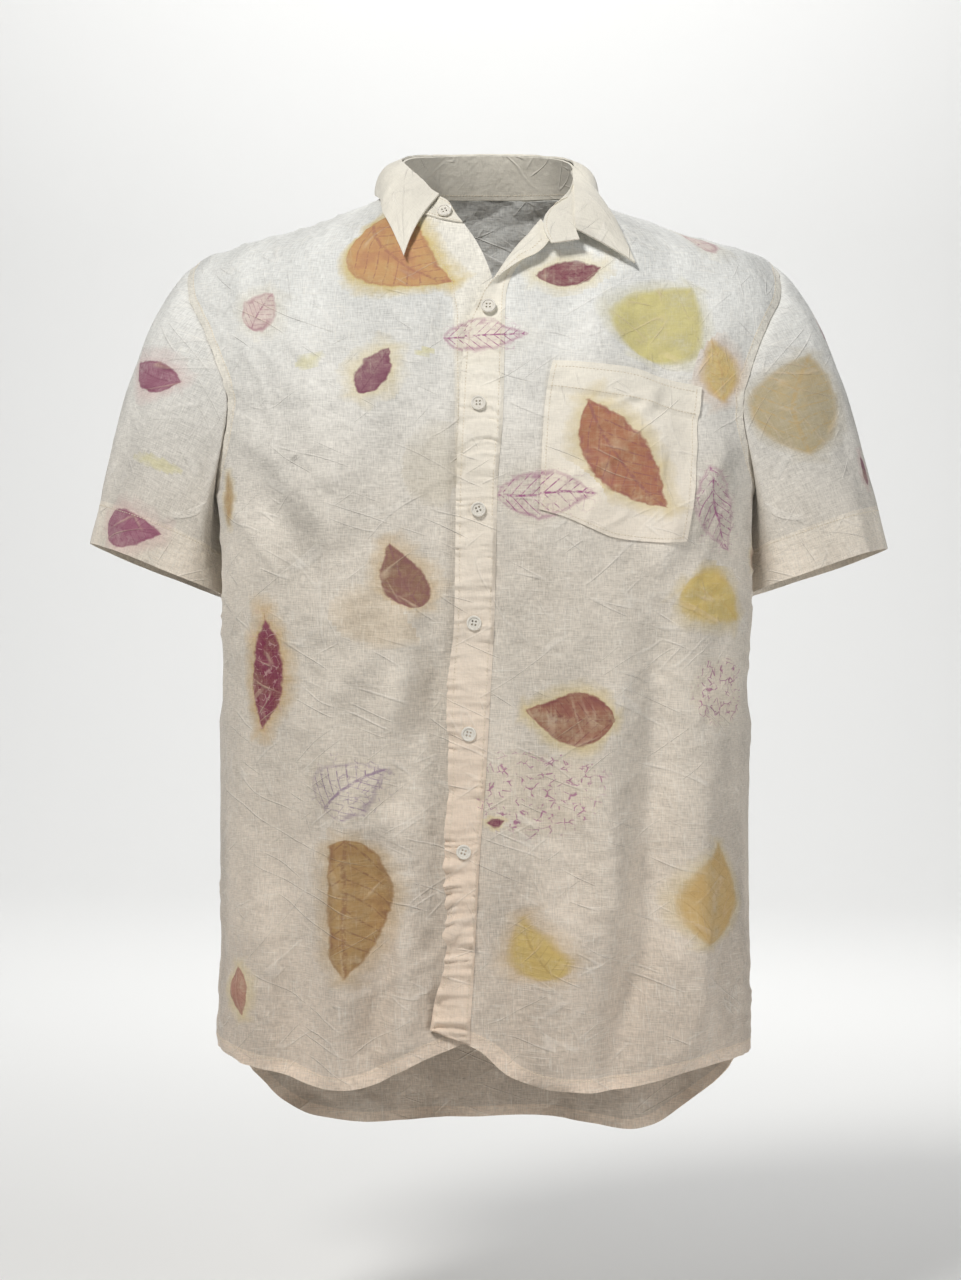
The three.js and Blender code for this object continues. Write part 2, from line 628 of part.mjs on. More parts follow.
// Left front: from the placket's free edge to the side.
const leftTop = topEdge(LEFT_NECK, false);
const leftSide = outerEdge(false, LEFT_HEM[LEFT_HEM.length - 1].z);
const leftCentre = downShares.map((t) => {
  const z = mix(LEFT_NECK[0].z, LEFT_HEM[0].z, t);
  return new THREE.Vector2(alongFromX(level(PLACKET, z, "free"), z, false), z);
});
const leftFoot = hemEdge(LEFT_HEM, LEFT_HEM[0].x, 1, false);
const leftPlan = filled(leftTop, leftFoot, leftCentre, leftSide, halfShares, downShares);
const wallLeft = (r) => (r >= ROWS - 1 ? FOLDED : WALL);
add("front_left", panel(leftPlan, 1, false, () => 0, wallLeft), CLOTH, 0.92);

// Back: one panel from armhole to armhole.
const halfTop = topEdge(BACK_NECK, true);
const backSides = [BACK_HEM[0].z, BACK_HEM[BACK_HEM.length - 1].z].map((z) => outerEdge(true, z));
const flip = (p) => new THREE.Vector2(-p.x, p.y);
const backTop = [...halfTop.slice(1).reverse().map(flip), ...halfTop];
const backFoot = [
  ...hemEdge(BACK_HEM, 0, -1, true).slice(1).reverse().map(flip),
  ...hemEdge(BACK_HEM, 0, 1, true),
];
const backShares = backTop.map((_, c) => c / (backTop.length - 1));
const [backRight, backLeft] = [backSides[0].map(flip), backSides[1]];
const backPlan = filled(backTop, backFoot, backRight, backLeft, backShares, downShares);
add("back", panel(backPlan, 1, true, () => 0, wallLeft), CLOTH, 0.92);

// Sleeves: rings from the armhole to the hem, starting at the underarm and going round by the front.
function sleeve(plan) {
  const front = armhole(false);
  const back = armhole(true);
  const ring = [...front.slice(1).reverse(), ...back.slice(0, ARM_ROWS)];
  const isBack = ring.map((_, k) => k >= ARM_ROWS);
  const count = ring.length;
  const seam = ring.map((p, k) => bare(p.x, p.y, isBack[k]));
  const bodyNormal = ring.map((p, k) => outward(p.x, p.y, isBack[k]));
  const middle = [(plan.outX + plan.inX) / 2, (plan.outZ + plan.inZ) / 2];
  const hem = ring.map((_, k) => {
    const turn = (2 * Math.PI * k) / count;
    const out = -Math.cos(turn);
    const deep = -Math.sin(turn);
    return new THREE.Vector3(
      middle[0] + (out * (plan.outX - plan.inX)) / 2,
      deep * plan.half,
      middle[1] + (out * (plan.outZ - plan.inZ)) / 2 - (plan.drop * (1 + deep)) / 2,
    );
  });
  const ringAt = (k, t) => {
    const turn = (2 * Math.PI * k) / count;
    const outside = (1 - Math.cos(turn)) / 2;
    const bulge = SLEEVE_BULGE * outside ** 1.5 * Math.sin(Math.PI * t ** 0.62);
    const fold = SLEEVE_FOLDS.reduce(
      (sum, f) => sum + f.high * Math.exp(-(((k / count - f.at) / f.wide) ** 2)),
      0,
    );
    const radial = new THREE.Vector3(-Math.cos(turn) * 0.9, -Math.sin(turn), outside * 0.35);
    const here = seam[k].clone().lerp(hem[k], t);
    here.addScaledVector(radial.normalize(), bulge + fold * smooth(t / 0.5));
    const before = seam[(k + count - 1) % count];
    const along = seam[(k + 1) % count].clone().sub(before);
    const away = along.cross(bodyNormal[k]).normalize();
    const top = seam[ARM_ROWS].clone().sub(seam[0]);
    if (k === 0 && away.dot(top) < 0) away.negate();
    if (k > 0 && away.dot(seam[(k + count / 2) % count].clone().sub(seam[k])) < 0) away.negate();
    const run = hem[k].clone().sub(seam[k]).normalize();
    const hollow = clamp01(0.8 - run.dot(away));
    const clear = 1 - t;
    here.addScaledVector(away, 2 * SEAM * clear);
    return here.addScaledVector(bodyNormal[k], ARMPIT_GAP * hollow * clear);
  };
  const bandAt = hem.map((p, k) => 1 - SLEEVE_BAND / p.distanceTo(seam[k]));
  const rows = SLEEVE_STEPS.length + SLEEVE_BAND_ROWS;
  const outer = Array.from({ length: rows }, (_, r) =>
    ring.map((_, k) => {
      const step = SLEEVE_STEPS[r];
      const inBand = (r - SLEEVE_STEPS.length + 1) / SLEEVE_BAND_ROWS;
      return ringAt(k, step === undefined ? mix(bandAt[k], 1, inBand) : step * bandAt[k]);
    }),
  );
  const normals = gridNormals(outer, true);
  const inner = outer.map((row, r) =>
    row.map((p, k) => {
      const turn = (2 * Math.PI * k) / count;
      const n = normals[r][k];
      const out = new THREE.Vector3(-Math.cos(turn), -Math.sin(turn), 0);
      if (n.dot(out) < 0) n.negate();
      if (r === 0) n.lerp(bodyNormal[k], smooth((1 - Math.cos(turn)) / 2)).normalize();
      return p.clone().addScaledVector(n, r >= SLEEVE_STEPS.length - 1 ? -FOLDED : -WALL);
    }),
  );
  const place = (grid) => grid.map((row) => row.map((p) => p.setX(p.x * plan.side)));
  return slab(place(outer), place(inner), true);
}
SLEEVES.forEach((plan) => add(plan.name, sleeve(plan), CLOTH, 0.92));

// Point off the neck form at x and height z, on its front or back half.
function offNeck(x, z, off, back) {
  const { a, d, n, y } = section(z, back);
  const across = Math.min(1, Math.abs(x) / a);
  const deep = d * (1 - across ** n) ** (1 / n) + off;
  return new THREE.Vector3(x, y + (back ? deep : -deep), z);
}

// Collar stand: a strip round the neck, its wall laid outward.
const standHigh = STAND.map((s) => offNeck(s.highX, s.highZ, s.highOff, s.back === 1));
const standGrid = Array.from({ length: STAND_ROWS + 1 }, (_, r) =>
  STAND.map((s, c) => {
    const low = offNeck(s.lowX, s.lowZ, s.lowOff, s.back === 1);
    return low.lerp(standHigh[c], r / STAND_ROWS);
  }),
);
const rearward = new THREE.Vector3(0, 1, 0);
const standNormals = facing(standGrid, rearward)[STAND_ROWS];
add("collar_stand", sheet(standGrid, COLLAR_WALL, rearward), DOUBLE, 0.9);

// Collar leaf: from the fold outward and down, its wall laid upward.
const leafGrid = Array.from({ length: LEAF_ROWS + 1 }, (_, r) =>
  LEAF.map((leaf) => {
    const t = r / LEAF_ROWS;
    const fold = standHigh[leaf.stand].clone();
    const laidOpen = leaf.stand >= OPEN_STATION;
    const beyond = fold.clone().sub(standGrid[0][leaf.stand]).normalize();
    fold.addScaledVector(beyond, laidOpen ? EDGE_GAP : 0);
    fold.addScaledVector(standNormals[leaf.stand], laidOpen ? 0 : COLLAR_WALL + FOLD_GAP);
    const rim = offNeck(leaf.rimX, leaf.rimZ, leaf.rimOff, leaf.back === 1);
    const way = new THREE.Vector3(leaf.rimX * 0.7, leaf.back === 1 ? 60 : -25, 45).normalize();
    return fold.lerp(rim, t).addScaledVector(way, leaf.belly * 4 * t * (1 - t));
  }),
);
const upAndRearward = new THREE.Vector3(0, 1, 1);
add("collar_leaf", sheet(leafGrid, COLLAR_WALL, upAndRearward), DOUBLE, 0.9);

// Placket of the left front, its top laid open.
const lapelRows = LAPEL.map((s) =>
  ROLL.map((step, c) => {
    const share = c / (ROLL.length - 1);
    const first = Math.min(1, step.way);
    const then = Math.max(0, step.way - 1);
    const turned = (axis) =>
      mix(mix(s["base" + axis], s["roll" + axis], first), s["free" + axis], then);
    const flat = (axis) => mix(s["base" + axis], s["free" + axis], share);
    const at = (axis) => mix(flat(axis), turned(axis), s.open);
    return onFront(at("X"), at("Z"), LAID + step.rise * s.open);
  }),
);
const PLACKET_ROWS = 26;
const placketRows = Array.from({ length: PLACKET_ROWS }, (_, r) => {
  const t = (r + 1) / PLACKET_ROWS;
  const z0 = PLACKET[0].z - 4;
  return ROLL.map((_, c) => {
    const share = c / (ROLL.length - 1);
    const z = mix(z0, mix(-673, PLACKET[PLACKET.length - 1].z, share), t);
    return onFront(mix(level(PLACKET, z, "sewn"), level(PLACKET, z, "free"), share), z, LAID);
  });
});
const placketGrid = [...lapelRows, ...placketRows];
const forward = new THREE.Vector3(0, -1, 0);
add("placket", sheet(placketGrid, BAND_WALL, forward), DOUBLE, 0.9);

// Chest pocket with a hem band along its mouth.
const downPocket = Array.from({ length: POCKET_ROWS + 1 }, (_, r) => r / POCKET_ROWS);
const acrossPocket = Array.from({ length: POCKET_COLUMNS + 1 }, (_, c) => c / POCKET_COLUMNS);
const pocketPlan = filled(
  drawn(POCKET_TOP, POCKET_COLUMNS),
  drawn(POCKET_FOOT, POCKET_COLUMNS),
  drawn(POCKET_LEFT, POCKET_ROWS),
  drawn(POCKET_RIGHT, POCKET_ROWS),
  acrossPocket,
  downPocket,
);
const pocketGrid = (extra) =>
  pocketPlan.map((row, r) =>
    row.map((p, c) => {
      const bow = Math.sin(Math.PI * acrossPocket[c]) * (1 - smooth(downPocket[r] / 0.6));
      const thick = r <= POCKET_BAND_ROWS ? POCKET_BAND_WALL : BAND_WALL;
      return onFront(p.x, p.y, LAID + POCKET_MOUTH * bow + extra * thick);
    }),
  );
add("pocket", slab(pocketGrid(1), pocketGrid(0)), DOUBLE, 0.9);

// Buttons: a dished disc with four thread holes.
const wasm = await Module();
wasm.setup();
function solidOf(geometry) {
  const merged = mergeVertices(geometry.deleteAttribute("normal").deleteAttribute("uv"), 1e-4);
  const source = merged.index.array;
  const kept = [];
  for (let k = 0; k < source.length; k += 3) {
    const [a, b, c] = source.slice(k, k + 3);
    if (a !== b && b !== c && a !== c) kept.push(a, b, c);
  }
  const vertProperties = new Float32Array(merged.attributes.position.array);
  return new wasm.Manifold(
    new wasm.Mesh({ numProp: 3, vertProperties, triVerts: new Uint32Array(kept) }),
  );
}
const half = BUTTON.thick / 2;
const outline = [
  [0, -half],
  [BUTTON.base, -half],
  [BUTTON.radius, -half * 0.4],
  [BUTTON.radius, half * 0.5],
  [BUTTON.radius * 0.93, half],
  [BUTTON.rim + 0.3, half],
  [BUTTON.rim, BUTTON.dish - half],
  [0, BUTTON.dish - half],
].map(([x, y]) => new THREE.Vector2(x, y));
const disc = new THREE.LatheGeometry(outline, 24);
let buttonSolid = solidOf(disc);
for (const [sx, sy] of [[1, 1], [1, -1], [-1, 1], [-1, -1]]) {
  const hole = new THREE.CylinderGeometry(BUTTON.hole, BUTTON.hole, BUTTON.thick * 2, 8);
  hole.translate(sx * BUTTON.holeOff, 0, sy * BUTTON.holeOff);
  buttonSolid = buttonSolid.subtract(solidOf(hole));
}
const buttonMesh = buttonSolid.getMesh();
const buttonGeometry = new THREE.BufferGeometry();
buttonGeometry.setAttribute(
  "position",
  new THREE.Float32BufferAttribute(buttonMesh.vertProperties, buttonMesh.numProp),
);
buttonGeometry.setIndex([...buttonMesh.triVerts]);
const lathed = new THREE.Vector3(0, 1, 0);
function addButton(name, spot, n) {
  const turn = new THREE.Quaternion().setFromUnitVectors(lathed, n);
  const geometry = buttonGeometry.clone().applyQuaternion(turn);
  geometry.translate(spot.x, spot.y, spot.z);
  add(name, geometry, PEARL, 0.35);
}
BUTTONS.forEach((b) => {
  const n = outward(alongFromX(b.x, b.z, false), b.z, false);
  addButton(b.name, onFront(b.x, b.z, LAID + BAND_WALL + 0.4 + half + b.off), n);
});
const neckZ = NECK_BUTTON.z;
const neckN = outward(alongFromX(NECK_BUTTON.x, neckZ, false), neckZ, false);
const neckOff = 1 + COLLAR_WALL + SEAM + half + 0.6;
addButton(NECK_BUTTON.name, offNeck(NECK_BUTTON.x, neckZ, neckOff, false), neckN);

export default group;
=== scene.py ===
import math

import bpy
import numpy as np
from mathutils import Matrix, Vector


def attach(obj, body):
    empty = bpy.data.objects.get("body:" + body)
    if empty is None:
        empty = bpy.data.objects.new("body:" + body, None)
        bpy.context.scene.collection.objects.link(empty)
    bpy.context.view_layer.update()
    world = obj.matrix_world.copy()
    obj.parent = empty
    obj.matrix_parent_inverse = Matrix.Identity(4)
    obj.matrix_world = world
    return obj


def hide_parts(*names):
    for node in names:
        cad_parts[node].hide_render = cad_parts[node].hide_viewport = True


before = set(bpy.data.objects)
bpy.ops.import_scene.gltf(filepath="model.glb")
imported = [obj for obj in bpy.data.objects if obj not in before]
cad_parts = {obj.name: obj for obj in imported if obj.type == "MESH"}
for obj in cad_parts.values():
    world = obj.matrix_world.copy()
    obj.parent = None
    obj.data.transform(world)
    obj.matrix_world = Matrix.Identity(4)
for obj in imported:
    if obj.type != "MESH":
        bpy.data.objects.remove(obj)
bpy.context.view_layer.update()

MM = 0.001  # metres in a millimetre, since all lengths below are in mm

# Body sections: height z, half width a, depth f forward and b backward of y, roundness n, all in mm.
BODY = np.array(
    [
        # z, a, f, b, n, y
        (-790, 219, 110, 103, 2.6, 0),
        (-700, 219, 113, 105, 2.6, 0),
        (-600, 218, 119, 107, 2.6, 0),
        (-450, 219, 127, 112, 2.7, 0),
        (-330, 222, 131, 117, 2.8, 0),
        (-250, 223, 132, 120, 2.8, 0),
        (-200, 231, 130, 121, 2.6, 0),
        (-160, 243, 126, 120, 2.35, 2),
        (-120, 256, 118, 116, 2.2, 4),
        (-80, 262, 107, 110, 2.1, 5),
        (-41, 236, 91, 102, 2.05, 6),
        (-22, 180, 82, 96, 2, 6),
        (-8, 136, 74, 90, 2, 6),
        (3, 109, 67, 85, 2, 7),
        (14, 86, 56, 78, 2, 8),
        (30, 73, 43, 68, 2, 8),
        (45, 66, 36, 61, 2, 9),
        (62, 60, 31, 56, 2, 9),
    ],
    float,
)
# The sides are pressed in under the arms: z, depth.
# The dent is full up to one angle from the side, and ends at the other.
DENT = np.array([(-420, 0), (-350, 12), (-300, 22), (-247, 18), (-170, 0)], float)
DENT_FULL, DENT_END = 0.2, 0.42
# Armhole from tip to underarm: z, distance forward, distance backward.
ARMHOLE = [
    (-41, 0, 0),
    (-58, 30, 27),
    (-85, 51, 48),
    (-117, 66, 65),
    (-159, 77, 76),
    (-200, 70, 72),
    (-233, 42, 45),
    (-247, 0, 0),
]
# Neck seams from the front edge to the shoulder: x outward, z.
RIGHT_NECK = [(17, -17), (40, -12.5), (59.5, -3.3), (74, 6.5)]
LEFT_NECK = [(-5, -82), (10, -61), (28, -37), (46, -14), (56, -1), (70, 8)]
BACK_NECK = [(0, 20.5), (30, 20), (55, 19), (76, 17)]
NECK_SIDE = 14.0  # z where the shoulder seam meets the neck
# Front edge of the right front: z, x.
RIGHT_EDGE = np.array([(-665, -8), (-90, -10), (-62, -6), (-45, 0), (-30, 8), (-17, 17)], float)
# Placket: z, free edge, sewn edge.
PLACKET = np.array(
    [
        (-663, -44, -12),
        (-640, -40.5, -10.5),
        (-612, -32, -8.7),
        (-577, -29.5, -7),
        (-523, -31.5, -4.2),
        (-460, -28, 0.5),
        (-394, -29, 4.2),
        (-336, -24.5, 7.3),
        (-225, -22.8, 10),
        (-171, -20.5, 14.2),
        (-128, -18, 15.2),
        (-100, -14.3, 15.8),
        (-88, -9.5, 16),
        (-82, -5, 16),
    ],
    float,
)
# Opened top of the placket: base x z, roll x z, free x z, openness.
LAPEL = np.array(
    [
        (51, -22, 44, -15, 51, -36, 1),
        (43, -32, 35, -27, 42, -46, 1),
        (34, -43, 25, -38.5, 29, -53, 1),
        (25, -55, 15, -51, 15, -61.5, 0.9),
        (19, -67, 7, -62, 3, -70, 0.6),
        (16.5, -77, 4, -74, -4, -78, 0.25),
    ],
    float,
)
# Cross-section of its roll: way across, 1 at the roll and 2 at the free edge, and rise.
ROLL = [(0, 0), (0.6, 0), (0.93, 1.6), (1, 4.2), (1.12, 6.8), (1.5, 8.6), (2, 9)]
# Flat part of the placket: where it starts, and its foot at the sewn and the free edge.
FLAT_FROM, PLACKET_FOOT = -86.0, (-673.0, -663.0)
# Stations of the collar stand: low edge x, z and distance off the neck, high edge the same, then 1 on the
# back half.
STAND = [
    (-18, -16.4, 1, -24, -7, 1, 0),
    (-24, -15.6, 1, -29, 2, 1, 0),
    (-32, -14, 1, -36, 7, 1, 0),
    (-40, -12, 1, -42.5, 12, 1, 0),
    (-50, -8, 1, -48, 18, 1, 0),
    (-59.5, -2.6, 1, -54, 24, 1, 0),
    (-74, 7.2, 1, -60, 32, 1, 0),
    (-85, 14.8, 0.5, -67, 43, 0, 0),
    (-76, 17.8, 0.5, -60, 50, 0, 1),
    (-55, 19.8, 0.5, -45, 53.5, 0, 1),
    (-30, 20.8, 0.5, -25, 56, 0, 1),
    (0, 21.3, 0.5, 0, 57, 0, 1),
    (30, 20.8, 0.5, 25, 56, 0, 1),
    (55, 19.8, 0.5, 46, 53, 0, 1),
    (76, 17.8, 0.5, 62, 48, 0, 1),
    (85, 14.8, 0.5, 71, 41, 2, 0),
    (70, 8.8, 2.5, 73, 31, 12, 0),
    (58, 1.8, 4, 73, 17, 10, 0),
    (50, -7, 7, 73, 2, 12, 0),
    (47, -16, 12.5, 72, -13, 14, 0),
    (48, -25, 16, 73, -23, 15.5, 0),
    (53, -34.6, 16, 75.5, -31, 15.5, 0),
]
# Stations of the collar leaf: the stand station that it folds from, rim x, z and distance off, belly, 1 on the
# back half.
LEAF = [
    (2, -65, -45, 7, 4, 0),
    (3, -70, -33, 7, 5, 0),
    (4, -76, -19, 7, 5, 0),
    (5, -82, -6, 7, 5, 0),
    (6, -84, 6, 7, 6, 0),
    (7, -90, 16.5, 0, 7, 0),
    (8, -88, 16.3, 8, 8, 1),
    (9, -64, 15.5, 10, 8, 1),
    (10, -32, 12.5, 9, 8, 1),
    (11, 0, 12, 9, 8, 1),
    (12, 32, 12.5, 9, 8, 1),
    (13, 64, 15.5, 10, 8, 1),
    (14, 88, 16.3, 8, 8, 1),
    (15, 92, 15.5, 4, 7, 0),
    (16, 92, 6, 5, 6, 0),
    (17, 101, -5, 6, 6, 0),
    (18, 107, -18, 6, 6, 0),
    (19, 113, -33, 6, 3, 0),
    (20, 120, -50, 6, 1, 0),
]
OPEN_STATION = 16  # from here on the stand lies open, and the leaf goes on from it unfolded
# Hems: x, z.
RIGHT_HEM = np.array(
    [
        (-219, -686),
        (-191, -695),
        (-161, -702),
        (-127, -710.5),
        (-108, -710),
        (-88, -706),
        (-69, -696),
        (-50, -687),
        (-30, -679),
        (-16, -673),
        (8, -665),
    ],
    float,
)
LEFT_HEM = np.array(
    [
        (-44, -663),
        (-30, -668),
        (-15, -673.5),
        (-3.5, -679),
        (16, -697),
        (31, -704),
        (56, -710),
        (83, -711),
        (112, -709.5),
        (132, -705),
        (162, -698),
        (200, -692),
        (219, -690),
    ],
    float,
)
BACK_HEM = np.array(
    [
        (-219, -686),
        (-200, -716),
        (-174, -746),
        (-146, -763),
        (-96, -770),
        (-12, -766),
        (29, -765),
        (90, -771),
        (126, -775),
        (144, -771),
        (180, -743),
        (202, -722),
        (219, -690),
    ],
    float,
)
# Sleeves: side, outer end x z, inner end x z, half depth, back drop.
SLEEVES = {
    "sleeve_right": (-1, 327, -269, 211, -315, 58, 9),
    "sleeve_left": (1, 334, -273, 211, -314, 58, 9),
}
SLEEVE_BULGE, SLEEVE_BAND = 17.0, 34.0  # how far the sleeve stands out, width of its hem band
# Lengthwise sleeve folds: place round, half width, height.
SLEEVE_FOLDS = [
    (0.22, 0.05, -3.5),
    (0.33, 0.05, 3),
    (0.4, 0.04, -3),
    (0.64, 0.05, -3),
    (0.76, 0.05, 3),
]
# Soft folds: line x1 z1 to x2 z2, half width, height; outward is positive.
FRONT_FOLDS = [
    (-30, -350, -72, -480, 15, -4.5),
    (-60, -340, -98, -470, 14, 3.5),
    (-120, -350, -114, -700, 15, 5),
    (-92, -480, -88, -690, 15, -4.5),
    (-165, -430, -160, -690, 17, -5),
    (-66, -560, -58, -690, 13, 4),
    (138, -310, 134, -540, 16, -5),
    (108, -330, 100, -560, 15, 3.5),
    (172, -380, 168, -680, 16, 4.5),
    (108, -590, 100, -700, 14, -4.5),
    (66, -560, 58, -700, 14, 4),
    (30, -250, 36, -400, 13, -2.5),
]
# Softer drapes of the fronts, same columns.
FRONT_DRAPES = [
    (-40, -290, -37, -660, 12, -5),
    (20, -110, 25, -290, 10, -2.5),
    (28, -520, 24, -680, 9, -3.5),
    (46, -500, 42, -700, 11, 3),
    (86, -440, 84, -710, 24, 6),
    (122, -520, 116, -700, 17, -3),
    (170, -560, 120, -700, 14, 3.5),
    (196, -560, 136, -700, 14, 3),
    (-206, -160, -126, -262, 13, 2.6),
    (-60, -150, -110, -300, 15, -2.6),
    (-150, -80, -120, -220, 16, 2.4),
    (100, -60, 160, -180, 15, -2.2),
    (-196, -210, -112, -320, 12, -2),
    (206, -170, 134, -290, 13, 2.4),
    (-30, -300, -140, -420, 12, 2.4),
    (-44, -400, -150, -520, 13, -2.4),
    (-30, -600, -110, -720, 12, 2.6),
]
BACK_FOLDS = [
    (-150, -330, -158, -740, 18, 5),
    (-112, -420, -106, -750, 17, -5),
    (-40, -380, -46, -755, 18, 4.5),
    (8, -300, 4, -755, 19, -4),
    (62, -400, 66, -755, 18, 5),
    (116, -350, 118, -750, 17, -5),
    (160, -430, 164, -735, 16, 4),
]
# Cloth is held flat this near the line of buttons, and hangs free this much further out.
BUTTON_LINE, HELD, FREED = -8, 18, 40
# Narrow creases, same columns as the folds.
FRONT_CREASES = [
    (-97, -69, -14, -77, 2.2, 0.9),
    (-27, -347, -113, -376, 2.6, 0.9),
    (-12, -562, -43, -606, 3, 1.4),
    (-43, -606, -100, -638, 3, 1.2),
    (-36, -664, -95, -690, 3, 1.1),
    (-4, -640, 17, -622, 3, 1.3),
    (6, -597, 0, -628, 2.4, -1.6),
    (0, -628, 5, -646, 2.4, -1.2),
    (12, -330, 32, -362, 7, -1.6),
    (-150, -200, -120, -232, 2.4, 0.8),
    (-190, -120, -168, -175, 3, 1.0),
    (-199, -250, -166, -300, 3.5, 1.2),
    (196, -240, 160, -318, 4, 1.3),
    (150, -480, 120, -520, 2.6, 0.9),
    (60, -420, 112, -402, 2.4, 0.8),
    (40, -560, 86, -585, 2.6, 0.9),
    (190, -200, 168, -262, 3, 1.0),
    (-60, -240, -24, -222, 2.2, 0.7),
    (24, -118, 60, -100, 2.4, 0.7),
    (-140, -520, -100, -560, 2.6, 0.9),
]
BACK_CREASES = [
    (-90, -90, -20, -112, 3, 1.0),
    (30, -70, 96, -86, 3, 0.9),
    (-150, -210, -110, -262, 3, 1.1),
    (120, -190, 160, -262, 3.2, 1.2),
    (-30, -330, 40, -352, 2.8, 0.9),
    (70, -470, 120, -512, 2.8, 1.0),
    (-130, -560, -80, -600, 3, 1.0),
    (20, -610, 70, -640, 2.8, 0.9),
]
# Short sharp wrinkles: turn of their run, length, width, height.
WRINKLES = [(0.35, 52, 15, 0.9), (-0.6, 44, 13, 0.8), (1.3, 60, 17, 0.7)]
PATCH = 64  # size of the patches that they come in
LUMPS = 64  # the noise repeats after this many lumps


def smooth(v):
    """Soft step from 0 at 0 to 1 at 1."""
    v = np.clip(v, 0, 1)
    return v * v * (3 - 2 * v)


def mix(a, b, t):
    """From a at t = 0 to b at t = 1."""
    return a + (b - a) * t


def curve(xs, ys, v):
    """Smooth curve without overshoot through (xs, ys), xs rising."""
    xs, ys, v = np.asarray(xs, float), np.asarray(ys, float), np.asarray(v, float)
    step, rise = np.diff(xs), np.diff(ys) / np.diff(xs)
    slope = np.zeros(len(xs))
    slope[0], slope[-1] = rise[0], rise[-1]
    a, b = rise[:-1], rise[1:]
    same = a * b > 0
    slope[1:-1][same] = 2 * a[same] * b[same] / (a + b)[same]
    v = np.clip(v, xs[0], xs[-1])
    i = np.clip(np.searchsorted(xs, v, "right") - 1, 0, len(xs) - 2)
    t = (v - xs[i]) / step[i]
    bend = t * t * (3 - 2 * t)
    return mix(ys[i], ys[i + 1], bend) + step[i] * (
        t * (1 - t) ** 2 * slope[i] - t * t * (1 - t) * slope[i + 1]
    )


def column(table, k, v):
    """Column k of a table, looked up by its first column."""
    return curve(table[:, 0], table[:, k], v)


def section(z, back):
    """Half width, depth, roundness and middle of the body at height z."""
    return column(BODY, 1, z), column(BODY, 3 if back else 2, z), column(BODY, 4, z), column(BODY, 5, z)


def quarter(z, back):
    """Length along the body from its middle to its side."""
    a, d, _, _ = section(z, back)
    return math.pi / 2 * np.sqrt((a * a + d * d) / 2)


def along_from_x(x, z, back):
    """Distance along the body from its middle to the point at x."""
    a, _, n, _ = section(z, back)
    across = np.minimum(1, np.abs(x) / a)
    angle = np.arctan2(across, (1 - across**n) ** (1 / n))
    return np.sign(x) * quarter(z, back) * angle / (math.pi / 2)


def along_from_depth(depth, z, back):
    """Distance along the body to the point that is so far in front of its middle, or behind."""
    _, d, n, _ = section(z, back)
    out = np.clip(depth / d, 0, 1)
    return quarter(z, back) * np.arctan2((1 - out**n) ** (1 / n), out) / (math.pi / 2)


def bare(w, z, back):
    """Point of the body without folds, at a distance w along it."""
    a, d, n, y = section(z, back)
    angle = math.pi / 2 * w / quarter(z, back)
    s, c = np.sin(angle), np.cos(angle)
    r = (np.abs(s) ** n + np.abs(c) ** n) ** (-1 / n)
    off = np.abs(math.pi / 2 - np.abs(angle))
    press = 1 - smooth((off - DENT_FULL) / (DENT_END - DENT_FULL))
    wide = a - column(DENT, 1, z) * press
    return np.stack([wide * s * r, y + (1 if back else -1) * d * c * r, z + 0 * w], -1)


def unit(v):
    """Vectors of length 1."""
    return v / np.maximum(np.linalg.norm(v, axis=-1, keepdims=True), 1e-9)


def outward(w, z, back):
    """Unit normals of the body, away from its middle."""
    near = 0.5
    across = bare(w + near, z, back) - bare(w - near, z, back)
    n = unit(np.cross(across, bare(w, z - near, back) - bare(w, z + near, back)))
    here = bare(w, z, back)
    sign = np.where((n[..., :2] * here[..., :2]).sum(-1) < 0, -1.0, 1.0)
    return n * sign[..., None]


def noise(x, y, seed):
    """Smooth noise between -1 and 1, one lump a unit."""
    grid = np.random.default_rng(seed).random((LUMPS, LUMPS))
    x0, y0 = np.floor(x).astype(int), np.floor(y).astype(int)
    u, v = smooth(x - x0), smooth(y - y0)

    def at(i, j):
        return grid[(x0 + i) % LUMPS, (y0 + j) % LUMPS]

    return 2 * mix(mix(at(0, 0), at(1, 0), u), mix(at(0, 1), at(1, 1), u), v) - 1


def share_along(x, z, x1, z1, dx, dz):
    """How far each point is along the line from x1, z1: 0 at its start and 1 at its end, dx, dz further."""
    return ((x - x1) * dx + (z - z1) * dz) / (dx * dx + dz * dz)


def creased(x, z, table, waver, seed):
    """Summed height of a table of creases, each with a sharp line that wavers."""
    total = 0 * x
    for k, (x1, z1, x2, z2, wide, high) in enumerate(table):
        dx, dz = x2 - x1, z2 - z1
        t = share_along(x, z, x1, z1, dx, dz)
        near = np.clip(t, 0, 1)
        bend = waver * noise(t * 2.3 + k * 7.7, 0 * t + k, seed)
        across = ((x - x1) * dz - (z - z1) * dx) / math.hypot(dx, dz) + bend
        beyond = (t - near) * math.hypot(dx, dz)
        total = total + high * np.exp(-((across / wide) ** 2) - (beyond / (2.2 * wide)) ** 2)
    return total


